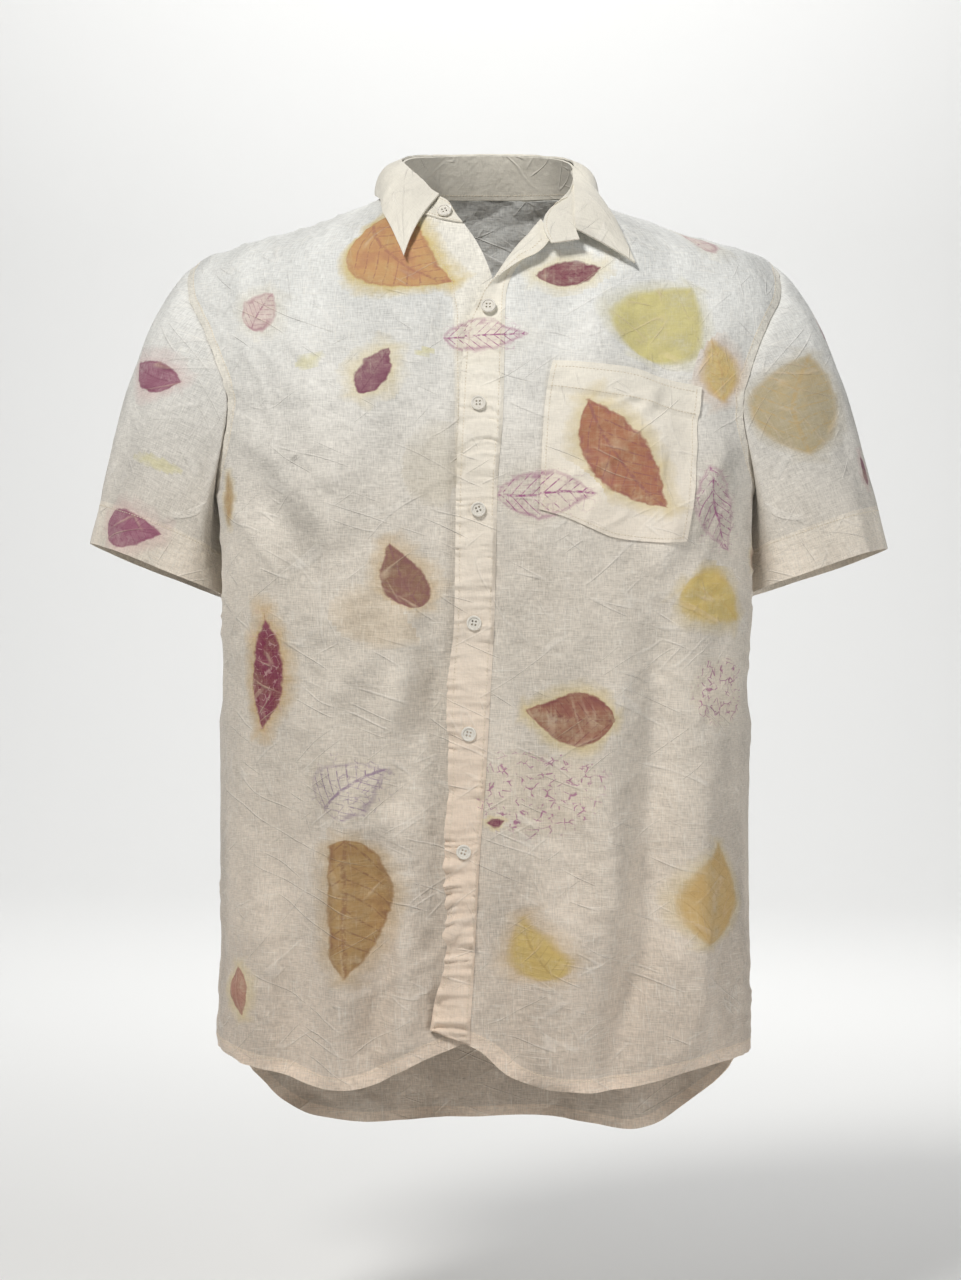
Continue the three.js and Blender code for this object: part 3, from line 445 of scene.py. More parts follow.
def fold_height(x, z, back):
    """Height of folds, creases and wrinkles over the bare body."""
    table = BACK_FOLDS if back else FRONT_FOLDS + FRONT_DRAPES
    creases = BACK_CREASES if back else FRONT_CREASES
    total = 0 * x
    free = 1 if back else smooth((np.abs(x - BUTTON_LINE) - HELD) / FREED)
    for k, (x1, z1, x2, z2, wide, high) in enumerate(table):
        dx, dz = x2 - x1, z2 - z1
        t = share_along(x, z, x1, z1, dx, dz)
        near = np.clip(t, 0, 1)
        sway = 8 * free * noise(z / 85 + 5 * k, 0 * z + k, 60)
        gap = np.hypot(x + sway - x1 - near * dx, z - z1 - near * dz)
        total = total + high * smooth(t / 0.35) * np.exp(-((gap / wide) ** 2))
    # Broad, middle and small lumps between the folds, the broad ones stronger low down.
    seed = 40 if back else 20
    low = smooth((-150 - z) / 300)
    total = total + 1.5 * noise(x / 62 + 9, z / 150, seed + 1) * mix(0.5, 1, low)
    total = total + 0.75 * noise(x / 27, z / 55 + 3, seed + 2)
    total = total * (1 + 1.15 * free) + (1 + 0.8 * free) * creased(x, z, creases, 3.0, seed)
    total = total + 0.5 * noise(x / 11 + z / 40, z / 19, seed + 3)
    return total + (0.15 + 1.7 * free) * wrinkles(x, z, seed + 6)


def wrinkles(x, z, seed):
    """Short sharp creases in three directions, in patches."""
    total = 0 * x
    for k, (turn, long, wide, high) in enumerate(WRINKLES):
        along, across = x * math.cos(turn) + z * math.sin(turn), z * math.cos(turn) - x * math.sin(turn)
        line = noise(along / long, across / wide, seed + k)
        patch = smooth((noise(x / PATCH, z / PATCH, seed + 5 + k) + 0.15) / 0.5)
        total = total + high * patch * np.exp(-((line / 0.22) ** 2))
    return total


def cloth(w, z, back, off, side=1):
    """Point of the folded cloth, a distance off it. Folds fade out towards the side seam."""
    here = bare(w, z, back)
    to_side = 1 - np.abs(w) / quarter(z, back)
    high = smooth(to_side / 0.15) * fold_height(side * here[..., 0], z, back)
    return here + outward(w, z, back) * (high + off)[..., None]


def stretch(a, b, c, d, t):
    """Smooth stretch from b to c, which leans on a and d."""
    return 0.5 * (2 * b + (c - a) * t + (2 * a - 5 * b + 4 * c - d) * t**2 + (3 * b - a - 3 * c + d) * t**3)


def spline(points, count):
    """Even points on the smooth line through a list of points."""
    p = np.array(points, float)
    p = np.vstack([p[:1], p, p[-1:]])
    out = []
    for k in range(1, len(p) - 2):
        t = np.linspace(0, 1, 60, endpoint=k == len(p) - 3)[:, None]
        out.append(stretch(*p[k - 1 : k + 3], t))
    line = np.vstack(out)
    run = np.concatenate([[0], np.cumsum(np.linalg.norm(np.diff(line, axis=0), axis=1))])
    at = np.linspace(0, run[-1], count + 1)
    return np.stack([np.interp(at, run, line[:, k]) for k in range(line.shape[1])], -1)


def filled(top, foot, left, right, across, downs):
    """Grid between four edges of (along, z) points."""
    s, t = across[None, :, None], downs[:, None, None]
    corners = mix(mix(top[0], top[-1], s), mix(foot[0], foot[-1], s), t)
    return mix(top[None], foot[None], t) + mix(left[:, None], right[:, None], s) - corners


# Rows of a panel beside the armhole and the side seam, and columns below the neck and the shoulder.
ARM_ROWS, SIDE_ROWS = 66, 120
NECK_COLUMNS, SHOULDER_COLUMNS = 46, 50
ARM_SHARE = 0.36  # share of a panel's height that the armhole takes
SEAM, LAID = 0.3, 0.35  # gap at a seam, and under a piece that lies on another
DOWN = np.concatenate([np.linspace(0, ARM_SHARE, ARM_ROWS + 1), np.linspace(ARM_SHARE, 1, SIDE_ROWS + 1)[1:]])
HALF = np.linspace(0, 1, NECK_COLUMNS + SHOULDER_COLUMNS + 1)


def armhole(back):
    """Armhole from its tip to the underarm, in plan."""
    p = spline([(row[2 if back else 1], row[0]) for row in ARMHOLE], ARM_ROWS)
    w = along_from_depth(np.maximum(0, p[:, 0]), p[:, 1], back)
    return np.stack([w, p[:, 1]], -1)


def outer_edge(back, hem_z):
    """Outer edge of a panel: the armhole and the side seam, in plan."""
    arm = armhole(back)
    z = np.linspace(arm[-1, 1], hem_z, SIDE_ROWS + 1)[1:]
    arm[0, 0] -= SEAM
    arm[-1, 0] -= SEAM / 2
    return np.vstack([arm, np.stack([quarter(z, back) - SEAM / 2, z], -1)])


def shoulder(back):
    """Shoulder seam from the neck to the armhole's tip, in plan."""
    tip = ARMHOLE[0][0]
    heights = np.linspace(NECK_SIDE, tip, 400)
    a = section(heights, back)[0]
    x = np.linspace(a[0], a[-1], SHOULDER_COLUMNS + 1)
    z = np.interp(x, a, heights)
    return np.stack([quarter(z, back) - SEAM, z], -1)


def top_edge(neck, back):
    """Neck seam and shoulder seam, in plan."""
    ridge = shoulder(back)
    start = [(float(along_from_x(x, z, back)), z) for x, z in neck]
    return np.vstack([spline(start + [tuple(ridge[0])], NECK_COLUMNS)[:-1], ridge])


def hem_edge(hem, start, side, back):
    """Hem from x = start to the side seam, in plan."""
    z0 = column(hem, 1, side * start)
    first = along_from_x(start, z0, back)
    x = bare(mix(first, quarter(z0, back), HALF), z0 + 0 * HALF, back)[:, 0]
    z = column(hem, 1, side * x)
    return np.stack([mix(first, quarter(z, back) - SEAM / 2, HALF), z], -1)


def line_gap(points, line):
    """Distance of each point to a polyline, in plan millimetres."""
    best = np.full(points.shape[:-1], 1e6)
    for a, b in zip(line[:-1], line[1:]):
        d = b - a
        t = np.clip(((points - a) @ d) / max(d @ d, 1e-9), 0, 1)
        best = np.minimum(best, np.linalg.norm(points - a - t[..., None] * d, axis=-1))
    return best


SHARP = 60  # edges that turn more than this, in degrees, are shown sharp


def make(name, outer, inner, plan, bands, loop=False):
    """Closed cloth shell between two grids of points in mm; plan is (across, up) in mm, unwrapped."""
    rows, cols = outer.shape[:2]
    last = cols if loop else cols - 1

    def at(layer, r, c):
        return (layer * rows + r) * cols + c % cols

    r, c = (k.ravel() for k in np.meshgrid(np.arange(rows - 1), np.arange(last), indexing="ij"))
    cells = np.stack([[r, c], [r + 1, c], [r + 1, c + 1], [r, c + 1]], 0)  # corner, (r, c), cell
    quads = [at(0, cells[:, 0], cells[:, 1]).T, at(1, cells[::-1, 0], cells[::-1, 1]).T]
    where = [cells.transpose(2, 0, 1), cells[::-1].transpose(2, 0, 1)]

    def rim(r0, c0, r1, c1):
        quads.append(np.stack([at(0, r0, c0), at(0, r1, c1), at(1, r1, c1), at(1, r0, c0)], -1))
        where.append(np.stack([np.stack(p, -1) for p in ((r0, c0), (r1, c1), (r1, c1), (r0, c0))], 1))

    c = np.arange(last)
    rim(0 * c, c, 0 * c, c + 1)
    rim(0 * c + rows - 1, c + 1, 0 * c + rows - 1, c)
    if not loop:
        r = np.arange(rows - 1)
        rim(r + 1, 0 * r, r, 0 * r)
        rim(r, 0 * r + cols - 1, r + 1, 0 * r + cols - 1)
    faces, spots = np.vstack(quads), np.vstack(where)
    points = np.vstack([outer.reshape(-1, 3), inner.reshape(-1, 3)])
    p = points[faces]
    volume = (p[:, 0] * np.cross(p[:, 1], p[:, 2])).sum() + (p[:, 0] * np.cross(p[:, 2], p[:, 3])).sum()
    if volume < 0:
        faces, spots = faces[:, ::-1], spots[:, ::-1]
    mesh = bpy.data.meshes.new(name + "_cloth")
    mesh.vertices.add(len(points))
    mesh.vertices.foreach_set("co", (points * MM).astype(np.float32).ravel())
    mesh.loops.add(faces.size)
    mesh.loops.foreach_set("vertex_index", faces.astype(np.int32).ravel())
    mesh.polygons.add(len(faces))
    mesh.polygons.foreach_set("loop_start", np.arange(0, faces.size, 4, dtype=np.int32))
    mesh.polygons.foreach_set("use_smooth", np.ones(len(faces), bool))
    mesh.update(calc_edges=True)
    corner = plan[spots[..., 0], spots[..., 1]]
    uv = mesh.uv_layers.new(name="cloth")
    uv.data.foreach_set("uv", (corner * MM).astype(np.float32).ravel())
    band = mesh.attributes.new("band", "FLOAT", "POINT")
    band.data.foreach_set("value", np.tile(bands.ravel(), 2).astype(np.float32))
    ob = bpy.data.objects.new(name + "_cloth", mesh)
    bpy.context.scene.collection.objects.link(ob)
    mesh.set_sharp_from_angle(angle=math.radians(SHARP))
    print_leaves(mesh, name, corner, outer, plan)
    return ob


# Colours of the leaf prints, as 0 to 255 screen values.
DYES = {
    "tan": (196, 148, 104),
    "rust": (168, 102, 74),
    "ochre": (170, 134, 80),
    "yellow": (208, 182, 96),
    "honey": (200, 164, 100),
    "olive": (198, 186, 112),
    "beige": (176, 160, 120),
    "lime": (216, 208, 142),
    "pink": (212, 176, 172),
    "orchid": (152, 92, 116),
    "plum": (160, 84, 134),
    "mauve": (132, 78, 102),
    "magenta": (124, 48, 84),
    "wine": (100, 26, 62),
    "claret": (118, 28, 66),
    "brick": (144, 86, 74),
    "brown": (132, 92, 76),
    "rose": (178, 124, 112),
    "straw": (226, 206, 146),
    "grey": (148, 124, 148),
    "none": (216, 208, 196),
}
# Leaf prints: where, x and z of the middle, length, width (negative for a leaf turned over), turn from +x in
# degrees, kind, fill, veins, halo.
LEAVES = [
    ("front", -68, -46, 74, 53, -41, "glow", "tan", "magenta", "yellow"),
    ("front", -180, -88, 36, 26, 55, "pale", "pink", "orchid", "straw"),
    ("front", -88, -138, 42, 22, 62, "solid", "mauve", "wine", "straw"),
    ("front", -139, -130, 20, 10, 30, "smear", "lime", "lime", "lime"),
    ("front", -46, -122, 16, 9, 20, "smear", "lime", "lime", "lime"),
    ("front", 0, -110, 52, 26, 4, "veins", "rose", "plum", "straw"),
    ("front", 68, -58, 42, 21, 12, "solid", "claret", "wine", "straw"),
    ("front", 180, -30, 26, 18, 0, "pale", "pink", "orchid", "straw"),
    ("front", 144, -96, 66, 70, 60, "stain", "olive", "lime", "olive"),
    ("front", 188, -136, 50, 32, 104, "stain", "yellow", "tan", "tan"),
    ("pocket", 108, -207, 98, 43, -59, "solid", "rust", "mauve", "yellow"),
    ("pocket", 48, -236, 62, 36, 4, "veins", "rose", "plum", "straw"),
    ("front", 48, -236, 62, 36, 4, "veins", "rose", "plum", "straw"),
    ("front", 184, -248, 70, 36, -72, "print", "pink", "plum", "straw"),
    ("front", 184, -320, 58, 42, -28, "stain", "yellow", "honey", "yellow"),
    ("front", 190, -392, 56, 50, 70, "scribble", "rose", "plum", "straw"),
    ("front", 181, -556, 80, 60, 78, "stain", "honey", "ochre", "yellow"),
    ("front", 39, -597, 50, 31, 112, "stain", "yellow", "ochre", "honey"),
    ("front", 66, -413, 54, 42, 172, "solid", "brick", "wine", "yellow"),
    ("front", 44, -466, 84, 66, 60, "scribble", "rose", "plum", "straw"),
    ("front", 9, -496, 12, 7, 10, "solid", "magenta", "wine", "straw"),
    ("front", -65, -301, 54, 28, 112, "solid", "brown", "mauve", "honey"),
    ("front", -206, -238, 38, 12, 90, "stain", "ochre", "brown", "yellow"),
    ("front", -176, -377, 90, 28, 86, "net", "claret", "pink", "honey"),
    ("front", -106, -468, 52, 44, 40, "print", "none", "grey", "straw"),
    ("front", -110, -565, 110, -58, -89, "cut", "ochre", "brown", "honey"),
    ("front", -197, -637, 40, 23, -78, "solid", "rose", "brown", "straw"),
    ("sleeve_left", 256, -160, 84, 64, 70, "stain", "beige", "honey", "beige"),
    ("sleeve_left", 278, -98, 24, 9, 90, "solid", "magenta", "wine", "pink"),
    ("sleeve_left", 312, -214, 26, 10, 90, "solid", "magenta", "wine", "pink"),
    ("sleeve_right", -270, -136, 40, 28, 10, "solid", "orchid", "wine", "pink"),
    ("sleeve_right", -288, -262, 50, 30, 172, "solid", "orchid", "magenta", "pink"),
    ("sleeve_right", -266, -208, 34, 9, 0, "smear", "lime", "lime", "lime"),
    ("front", 216, -284, 24, 16, 80, "stain", "brown", "mauve", "straw"),
    ("front", -40, -212, 60, 34, 85, "faint", "beige", "beige", "beige"),
    ("front", -78, -330, 50, 60, 85, "faint", "beige", "beige", "honey"),
    ("front", 220, -160, 44, 14, 85, "stain", "tan", "ochre", "yellow"),
    ("back", -120, -80, 80, 54, 30, "solid", "tan", "magenta", "yellow"),
    ("back", 40, -60, 44, 28, -60, "pale", "pink", "orchid", "straw"),
    ("back", 130, -120, 96, 50, -50, "solid", "rust", "mauve", "yellow"),
    ("back", -30, -190, 70, 64, 80, "stain", "olive", "lime", "olive"),
    ("back", -160, -240, 60, 40, 75, "scribble", "rose", "plum", "straw"),
    ("back", 70, -270, 90, 28, 84, "solid", "magenta", "straw", "honey"),
    ("back", -70, -340, 56, 38, 20, "print", "none", "grey", "straw"),
    ("back", 165, -330, 70, 52, 60, "stain", "yellow", "honey", "yellow"),
    ("back", -150, -430, 104, 54, 86, "solid", "ochre", "brown", "honey"),
    ("back", 10, -450, 86, 74, 30, "scribble", "rose", "mauve", "straw"),
    ("back", 110, -500, 66, 46, -20, "solid", "brick", "wine", "yellow"),
    ("back", -60, -590, 66, 46, 70, "stain", "yellow", "honey", "yellow"),
    ("back", 170, -620, 84, 50, 80, "stain", "yellow", "ochre", "yellow"),
    ("back", 40, -690, 46, 26, 100, "solid", "mauve", "wine", "straw"),
    ("back", -150, -680, 46, 28, 40, "pale", "pink", "orchid", "straw"),
    ("sleeve_left_back", 270, -180, 60, 34, 50, "solid", "brick", "wine", "yellow"),
    ("sleeve_right_back", -262, -120, 52, 34, -60, "solid", "tan", "magenta", "yellow"),
    ("sleeve_right_back", -290, -240, 40, 30, 20, "pale", "pink", "orchid", "straw"),
]
KINDS = {  # fill, veins, halo, scribble, softness of the edge, cut across the width
    "solid": (0.9, 0.42, 0.5, 0.0, 0.04, 9.0),
    "cut": (0.88, 0.6, 0.42, 0.0, 0.05, 0.36),
    "pale": (0.5, 0.7, 0.15, 0.0, 0.06, 9.0),
    "stain": (0.74, 0.4, 0.4, 0.0, 0.18, 9.0),
    "glow": (0.92, 0.42, 0.8, 0.0, 0.04, 9.0),
    "net": (0.98, 0.12, 0.7, 0.55, 0.05, 9.0),
    "veins": (0.1, 0.95, 0.06, 0.25, 0.06, 9.0),
    "print": (0.08, 0.85, 0.05, 0.5, 0.08, 9.0),
    "scribble": (0.04, 0.0, 0.08, 0.75, 0.2, 9.0),
    "smear": (0.0, 0.0, 0.5, 0.0, 0.5, 9.0),
    "faint": (0.0, 0.0, 0.22, 0.0, 0.7, 9.0),
}
# Kinds that a neighbouring leaf covers, because they count as so much further off.
UNDER, GIVES_WAY = ("smear", "faint", "scribble"), 0.9
LEAF_REACH = 2.1  # how far a print reaches, in half lengths and half widths of its leaf
LEAF_UNIT = 20.0  # distances from a leaf's edge are in this many millimetres
NO_LEAF = 9.0  # leaf coordinates where there is no leaf
LEAF_SEED = 3.7  # step of the seed from one leaf to the next
DYED = ("leaf_fill", "leaf_vein", "leaf_halo")
# Pieces that the leaves of a face are printed on, where they aren't the piece of that name.
PRINTED = {
    "front": ("front_right", "front_left", "placket"),
    "sleeve_left_back": ("sleeve_left",),
    "sleeve_right_back": ("sleeve_right",),
}


def linear(rgb):
    """Linear light of a screen colour."""
    v = np.array(rgb, float) / 255
    return np.where(v <= 0.04045, v / 12.92, ((v + 0.055) / 1.055) ** 2.4)


def plan_spot(face, x, z, outer, plan):
    """Plan coordinates of a face's point at x and height z."""
    if not face.startswith("sleeve"):
        return along_from_x(x, z, face == "back"), z
    wrong = outer[..., 1] < 0 if face.endswith("_back") else outer[..., 1] > 0
    gap = np.hypot(outer[..., 0] - x, outer[..., 2] - z) + 1e3 * wrong
    return plan[np.unravel_index(gap.argmin(), gap.shape)]


def print_leaves(mesh, name, corner, outer, plan):
    """Leaf coordinates and dyes on each face corner, from the nearest leaf."""
    count = len(corner)
    middle = corner.mean(1)
    best = np.full(count, LEAF_REACH)
    at = np.full((count, 4, 3), NO_LEAF)
    dyes = {label: np.tile([1.0, 1, 1, 0], (count, 1)) for label in DYED}
    scribble = np.zeros(count)
    form = np.ones((count, 3))
    for k, (face, x, z, long, wide, turn, kind, *colours) in enumerate(LEAVES):
        if name not in PRINTED.get(face, (face,)):
            continue
        spot = plan_spot(face, x, z, outer, plan)
        a = math.radians(turn)
        axes = np.array([[math.cos(a), -math.sin(a)], [math.sin(a), math.cos(a)]]) / (long / 2, wide / 2)
        reach = np.linalg.norm((middle - spot) @ axes, axis=-1) + (GIVES_WAY if kind in UNDER else 0)
        on = reach < best
        best[on] = reach[on]
        at[on, :, :2] = (corner[on] - spot) @ axes
        at[on, :, 2] = k * LEAF_SEED
        fill, vein, halo, scribble[on], soft, cut = KINDS[kind]
        form[on] = abs(wide) / 2 / LEAF_UNIT, soft, cut
        for table, colour, share in zip(dyes.values(), colours, (fill, vein, halo)):
            table[on] = [*linear(DYES[colour]), share]
    for label, table in (("leaf_at", at), ("leaf_form", np.repeat(form, 4, 0))):
        made = mesh.attributes.new(label, "FLOAT_VECTOR", "CORNER")
        made.data.foreach_set("vector", table.astype(np.float32).ravel())
    for label, table in dyes.items():
        made = mesh.attributes.new(label, "FLOAT_COLOR", "CORNER")
        made.data.foreach_set("color", np.repeat(table, 4, 0).astype(np.float32).ravel())
    made = mesh.attributes.new("leaf_scribble", "FLOAT", "CORNER")
    made.data.foreach_set("value", np.repeat(scribble, 4).astype(np.float32))


class Value:
    """A shader number that takes part in arithmetic."""

    def __init__(self, paint, socket):
        self.paint, self.socket = paint, socket

    def __add__(self, other):
        return self.paint.maths("ADD", self, other)

    def __sub__(self, other):
        return self.paint.maths("SUBTRACT", self, other)

    def __rsub__(self, other):
        return self.paint.maths("SUBTRACT", other, self)

    def __mul__(self, other):
        return self.paint.maths("MULTIPLY", self, other)

    def __truediv__(self, other):
        return self.paint.maths("DIVIDE", self, other)

    def __pow__(self, other):
        return self.paint.maths("POWER", self, other)

    __radd__, __rmul__ = __add__, __mul__


class Paint:
    """A material and its nodes."""

    def __init__(self, name, **constants):
        self.material = bpy.data.materials.new(name)
        self.material.use_nodes = True
        self.tree = self.material.node_tree
        self.surface = self.tree.nodes["Principled BSDF"]
        for key, value in constants.items():
            self.surface.inputs[key.replace("_", " ")].default_value = value

    def feed(self, socket, value):
        if isinstance(value, Value):
            self.tree.links.new(value.socket, socket)
        else:
            socket.default_value = value

    def node(self, kind, out, *inputs, settings=(), **named):
        made = self.tree.nodes.new(kind)
        for key, value in settings:
            setattr(made, key, value)
        for k, value in enumerate(inputs):
            self.feed(made.inputs[k], value)
        for key, value in named.items():
            self.feed(made.inputs[key], value)
        return Value(self, made.outputs[out])

    def maths(self, kind, *values, clamp=False):
        settings = (("operation", kind), ("use_clamp", clamp))
        return self.node("ShaderNodeMath", 0, *values, settings=settings)

    def step(self, low, high, value):
        """0 below low, 1 above high, or the reverse where low is above high."""
        settings = (("interpolation_type", "SMOOTHSTEP"),)
        if low < high:
            return self.node("ShaderNodeMapRange", 0, value, low, high, 0.0, 1.0, settings=settings)
        return self.node("ShaderNodeMapRange", 0, value, high, low, 1.0, 0.0, settings=settings)

    def mix(self, share, a, b):
        made = self.tree.nodes.new("ShaderNodeMix")
        made.data_type = "RGBA"
        for socket, value in ((made.inputs[0], share), (made.inputs[6], a), (made.inputs[7], b)):
            self.feed(socket, value)
        return Value(self, made.outputs[2])

    def scaled(self, vector, scale, shift=(0, 0, 0)):
        settings = (("operation", "MULTIPLY_ADD"),)
        return self.node("ShaderNodeVectorMath", 0, vector, scale, shift, settings=settings)

    def noise(self, vector, scale, detail=2.0, rough=0.5):
        return self.node("ShaderNodeTexNoise", 0, Vector=vector, Scale=scale, Detail=detail, Roughness=rough)

    def output(self, value, out):
        """Another output of the node that a value comes from."""
        return Value(self, value.socket.node.outputs[out])

    def attribute(self, name, out):
        return self.node("ShaderNodeAttribute", out, settings=(("attribute_name", name),))

    def finish(self, colour, height=None, distance=0.001, strength=1.0):
        """The material, with its colour and its relief."""
        self.feed(self.surface.inputs["Base Color"], colour)
        if height is not None:
            normal = self.node("ShaderNodeBump", 0, Strength=strength, Distance=distance, Height=height)
            self.feed(self.surface.inputs["Normal"], normal)
        return self.material


def colour(*rgb):
    """Shader colour of a screen colour."""
    return (*linear(rgb), 1.0)


ADD = (("operation", "ADD"),)
TIMES = (("operation", "MULTIPLY"),)
# Cloth colours low, middle and high up, single and doubled: the darker, warmer low ones are partly painted
# shade of light that falls off towards the hem.
SHADED_LOW_LINEN, MIDDLE_LINEN, HIGH_LINEN = (210, 195, 179), (216, 207, 194), (226, 227, 224)
SHADED_LOW_CREAM, HIGH_CREAM = (236, 216, 196), (238, 233, 220)
# The colour for the creases is a painted highlight along their lines.
SLUB_PALE, CREASE_HIGHLIGHT, CRACKED_DYE = (246, 242, 232), (250, 246, 238), (226, 204, 176)
BROKEN_CREASES = [(0.5, 3.0, 1.0), (-0.75, 40.0, 0.8), (1.35, 90.0, 0.6)]  # turn, shift of the noise, share


def yarn(p, mm):
    """Thin threads, thick threads in the two directions, and the slubs among these."""
    along, across = p.scaled(mm, (1.3, 0.16, 1)), p.scaled(mm, (0.16, 1.3, 1))
    fine = p.noise(along, 1.0, 1.0) + p.noise(across, 1.0, 1.0) - 1.0
    warp = p.noise(p.scaled(mm, (0.8, 0.05, 1)), 1.0, 2.0, 0.6)
    weft = p.noise(p.scaled(mm, (0.05, 0.8, 1), (7, 3, 0)), 1.0, 2.0, 0.6)
    return fine, warp + weft, p.step(0.52, 0.8, warp) + p.step(0.52, 0.8, weft)


def broken_creases(p, mm):
    """Thin creases that come and go, in three directions."""
    crease = 0.0
    for turn, shift, share in BROKEN_CREASES:
        turned = p.node("ShaderNodeVectorRotate", 0, Vector=mm, Angle=turn)
        ridge = p.noise(p.scaled(turned, (0.0075, 0.045, 1), (shift, 0, shift)), 1.0, 1.2, 0.5)
        patch = p.step(0.47, 0.62, p.noise(p.scaled(mm, (1, 1, 1), (shift, shift, 0)), 0.026, 1.0))
        crease = crease + p.step(0.018, 0.0, p.maths("ABSOLUTE", ridge - 0.5)) * patch * share
    return crease


def shaded_bare_cloth(p, doubled):
    """Undyed cloth: cool and light high up, warmer and darker low down, cream where it is doubled. The
    darkening low down is partly painted shade of light that falls off towards the hem.
    """
    own = p.node("ShaderNodeSeparateXYZ", 0, p.node("ShaderNodeTexCoord", 3))
    z = p.output(own, 2) * 1000
    # Both the cream and the single cloth darken towards the hem, partly as painted shade.
    cream = p.mix(p.step(-560, -60, z), colour(*SHADED_LOW_CREAM), colour(*HIGH_CREAM))
    if doubled:
        return cream
    low = p.mix(p.step(-760, -320, z), colour(*SHADED_LOW_LINEN), colour(*MIDDLE_LINEN))
    single = p.mix(p.step(-330, -30, z), low, colour(*HIGH_LINEN))
    return p.mix(p.step(1.05, 0.95, p.attribute("band", 2)) * 0.75, single, cream)


def leaf_marks(p, mm):
    """Shares of a leaf print: inside it, its halo, rim, veins and net, and the two noises that break it up."""
    u = p.node("ShaderNodeSeparateXYZ", 0, p.attribute("leaf_at", 1))
    v, seed = p.output(u, 1), p.output(u, 2)
    size = p.node("ShaderNodeSeparateXYZ", 0, p.attribute("leaf_form", 1))
    edge, cut = p.output(size, 1), p.output(size, 2)
    place = p.node("ShaderNodeCombineXYZ", 0, 0.0, 0.0, seed)
    spot = p.node("ShaderNodeVectorMath", 0, mm, place, settings=ADD)
    ragged = p.noise(spot, 0.11, 4.0, 0.62) - 0.5
    blotch = p.noise(spot, 0.055, 3.0, 0.6)
    speck = p.noise(spot, 0.34, 2.0, 0.6)
    curl = p.noise(spot, 0.022, 0.0) - 0.5
    # Two numbers of the leaf's own, between 0 and 1: how round its base is, and how it bends.
    roundness, bend = (p.maths("FRACT", seed * share) for share in (0.35, 0.73))
    bent_v = v + curl * 0.25 + (bend - 0.5) * 0.7 * (u * u - 0.35)
    side = p.maths("ABSOLUTE", bent_v)
    # Distance past the outline, in leaf units: the base, the tip, the cut and the ends bound it.
    base_end = p.maths("MAXIMUM", u + 1.0, 0.0) ** (0.5 + 0.45 * roundness)
    tip_end = p.maths("MAXIMUM", 1.0 - u, 0.0) ** 1.05
    past = p.maths("MAXIMUM", side - base_end * tip_end * 0.95, v - cut)
    past = p.maths("MAXIMUM", past, (p.maths("ABSOLUTE", u) - 1.0) * 2.6)
    past = past * size + ragged * 0.17 + (blotch - 0.5) * 0.34
    inside = p.maths("SUBTRACT", 0.5, past / (2.0 * edge), clamp=True)
    rim = p.step(-0.2, -0.01, past + ragged * 0.5)
    halo_width = p.maths("MINIMUM", 0.66 + 0.9 * edge, 0.12 + 1.1 * size)
    halo = p.maths("SUBTRACT", 1.0, (past + ragged * 0.45 + 0.3 * edge) / halo_width, clamp=True)
    halo = halo * p.step(0.15, 0.6, blotch + 0.15)
    # Ribs slant from the midrib to the edge.
    slant = (u - side * 0.5) * 4.2 + curl * 1.5
    ribs = p.maths("ABSOLUTE", slant - p.maths("ROUND", slant)) + ragged * 0.16
    veins = p.maths("MAXIMUM", p.step(0.11, 0.02, ribs), p.step(0.08, 0.02, side + ragged * 0.05))
    veins = veins * p.step(0.38, 0.56, blotch * 0.5 + speck * 0.5)
    # A broken net of small cells, out to the leaf's ends.
    sway = p.node("ShaderNodeTexNoise", 1, Vector=mm, Scale=0.08, Detail=1.0)
    swayed = p.node("ShaderNodeVectorMath", 0, spot, p.scaled(sway, (9, 9, 0)), settings=ADD)
    cells = (("feature", "DISTANCE_TO_EDGE"),)
    cell = p.node("ShaderNodeTexVoronoi", 0, settings=cells, Vector=swayed, Scale=0.16)
    far = p.maths("SQRT", u * u * 0.85 + bent_v * bent_v * 0.7)
    net = p.step(0.085, 0.015, cell) * p.step(0.46, 0.58, p.noise(spot, 0.16, 2.0, 0.6))
    net = net * p.attribute("leaf_scribble", 2) * p.step(1.1, 0.8, far + ragged)
    return inside, halo, rim, veins, net, blotch, speck


def printed(p, mm, base, slub, crease):
    """The cloth's colour with its leaf prints: halo, fill, cracks, then veins, rim and net."""
    inside, halo, rim, veins, net, blotch, speck = leaf_marks(p, mm)
    taken = 1.0 - slub * 0.18  # thick threads take less dye
    tints = [p.attribute(label, 0) for label in DYED]
    (fill_dye, fill), (vein_dye, vein), (halo_dye, share) = ((tint, p.output(tint, 3)) for tint in tints)
    base = p.mix(halo * share * taken, base, halo_dye)
    mottled = p.step(-0.05, 0.62, blotch * 0.75 + speck * 0.3)
    shaded = p.node("ShaderNodeVectorMath", 0, fill_dye, 0.72 + blotch * 0.6, settings=TIMES)
    base = p.mix(inside * fill * taken * mottled, base, shaded)
    base = p.mix(inside * fill * crease * 0.45, base, colour(*CRACKED_DYE))
    deep = p.maths("MAXIMUM", veins, rim * 0.5 + p.step(0.47, 0.66, blotch) * 0.7 * fill)
    base = p.mix(deep * inside * vein, base, vein_dye)
    return p.mix(net, base, vein_dye)


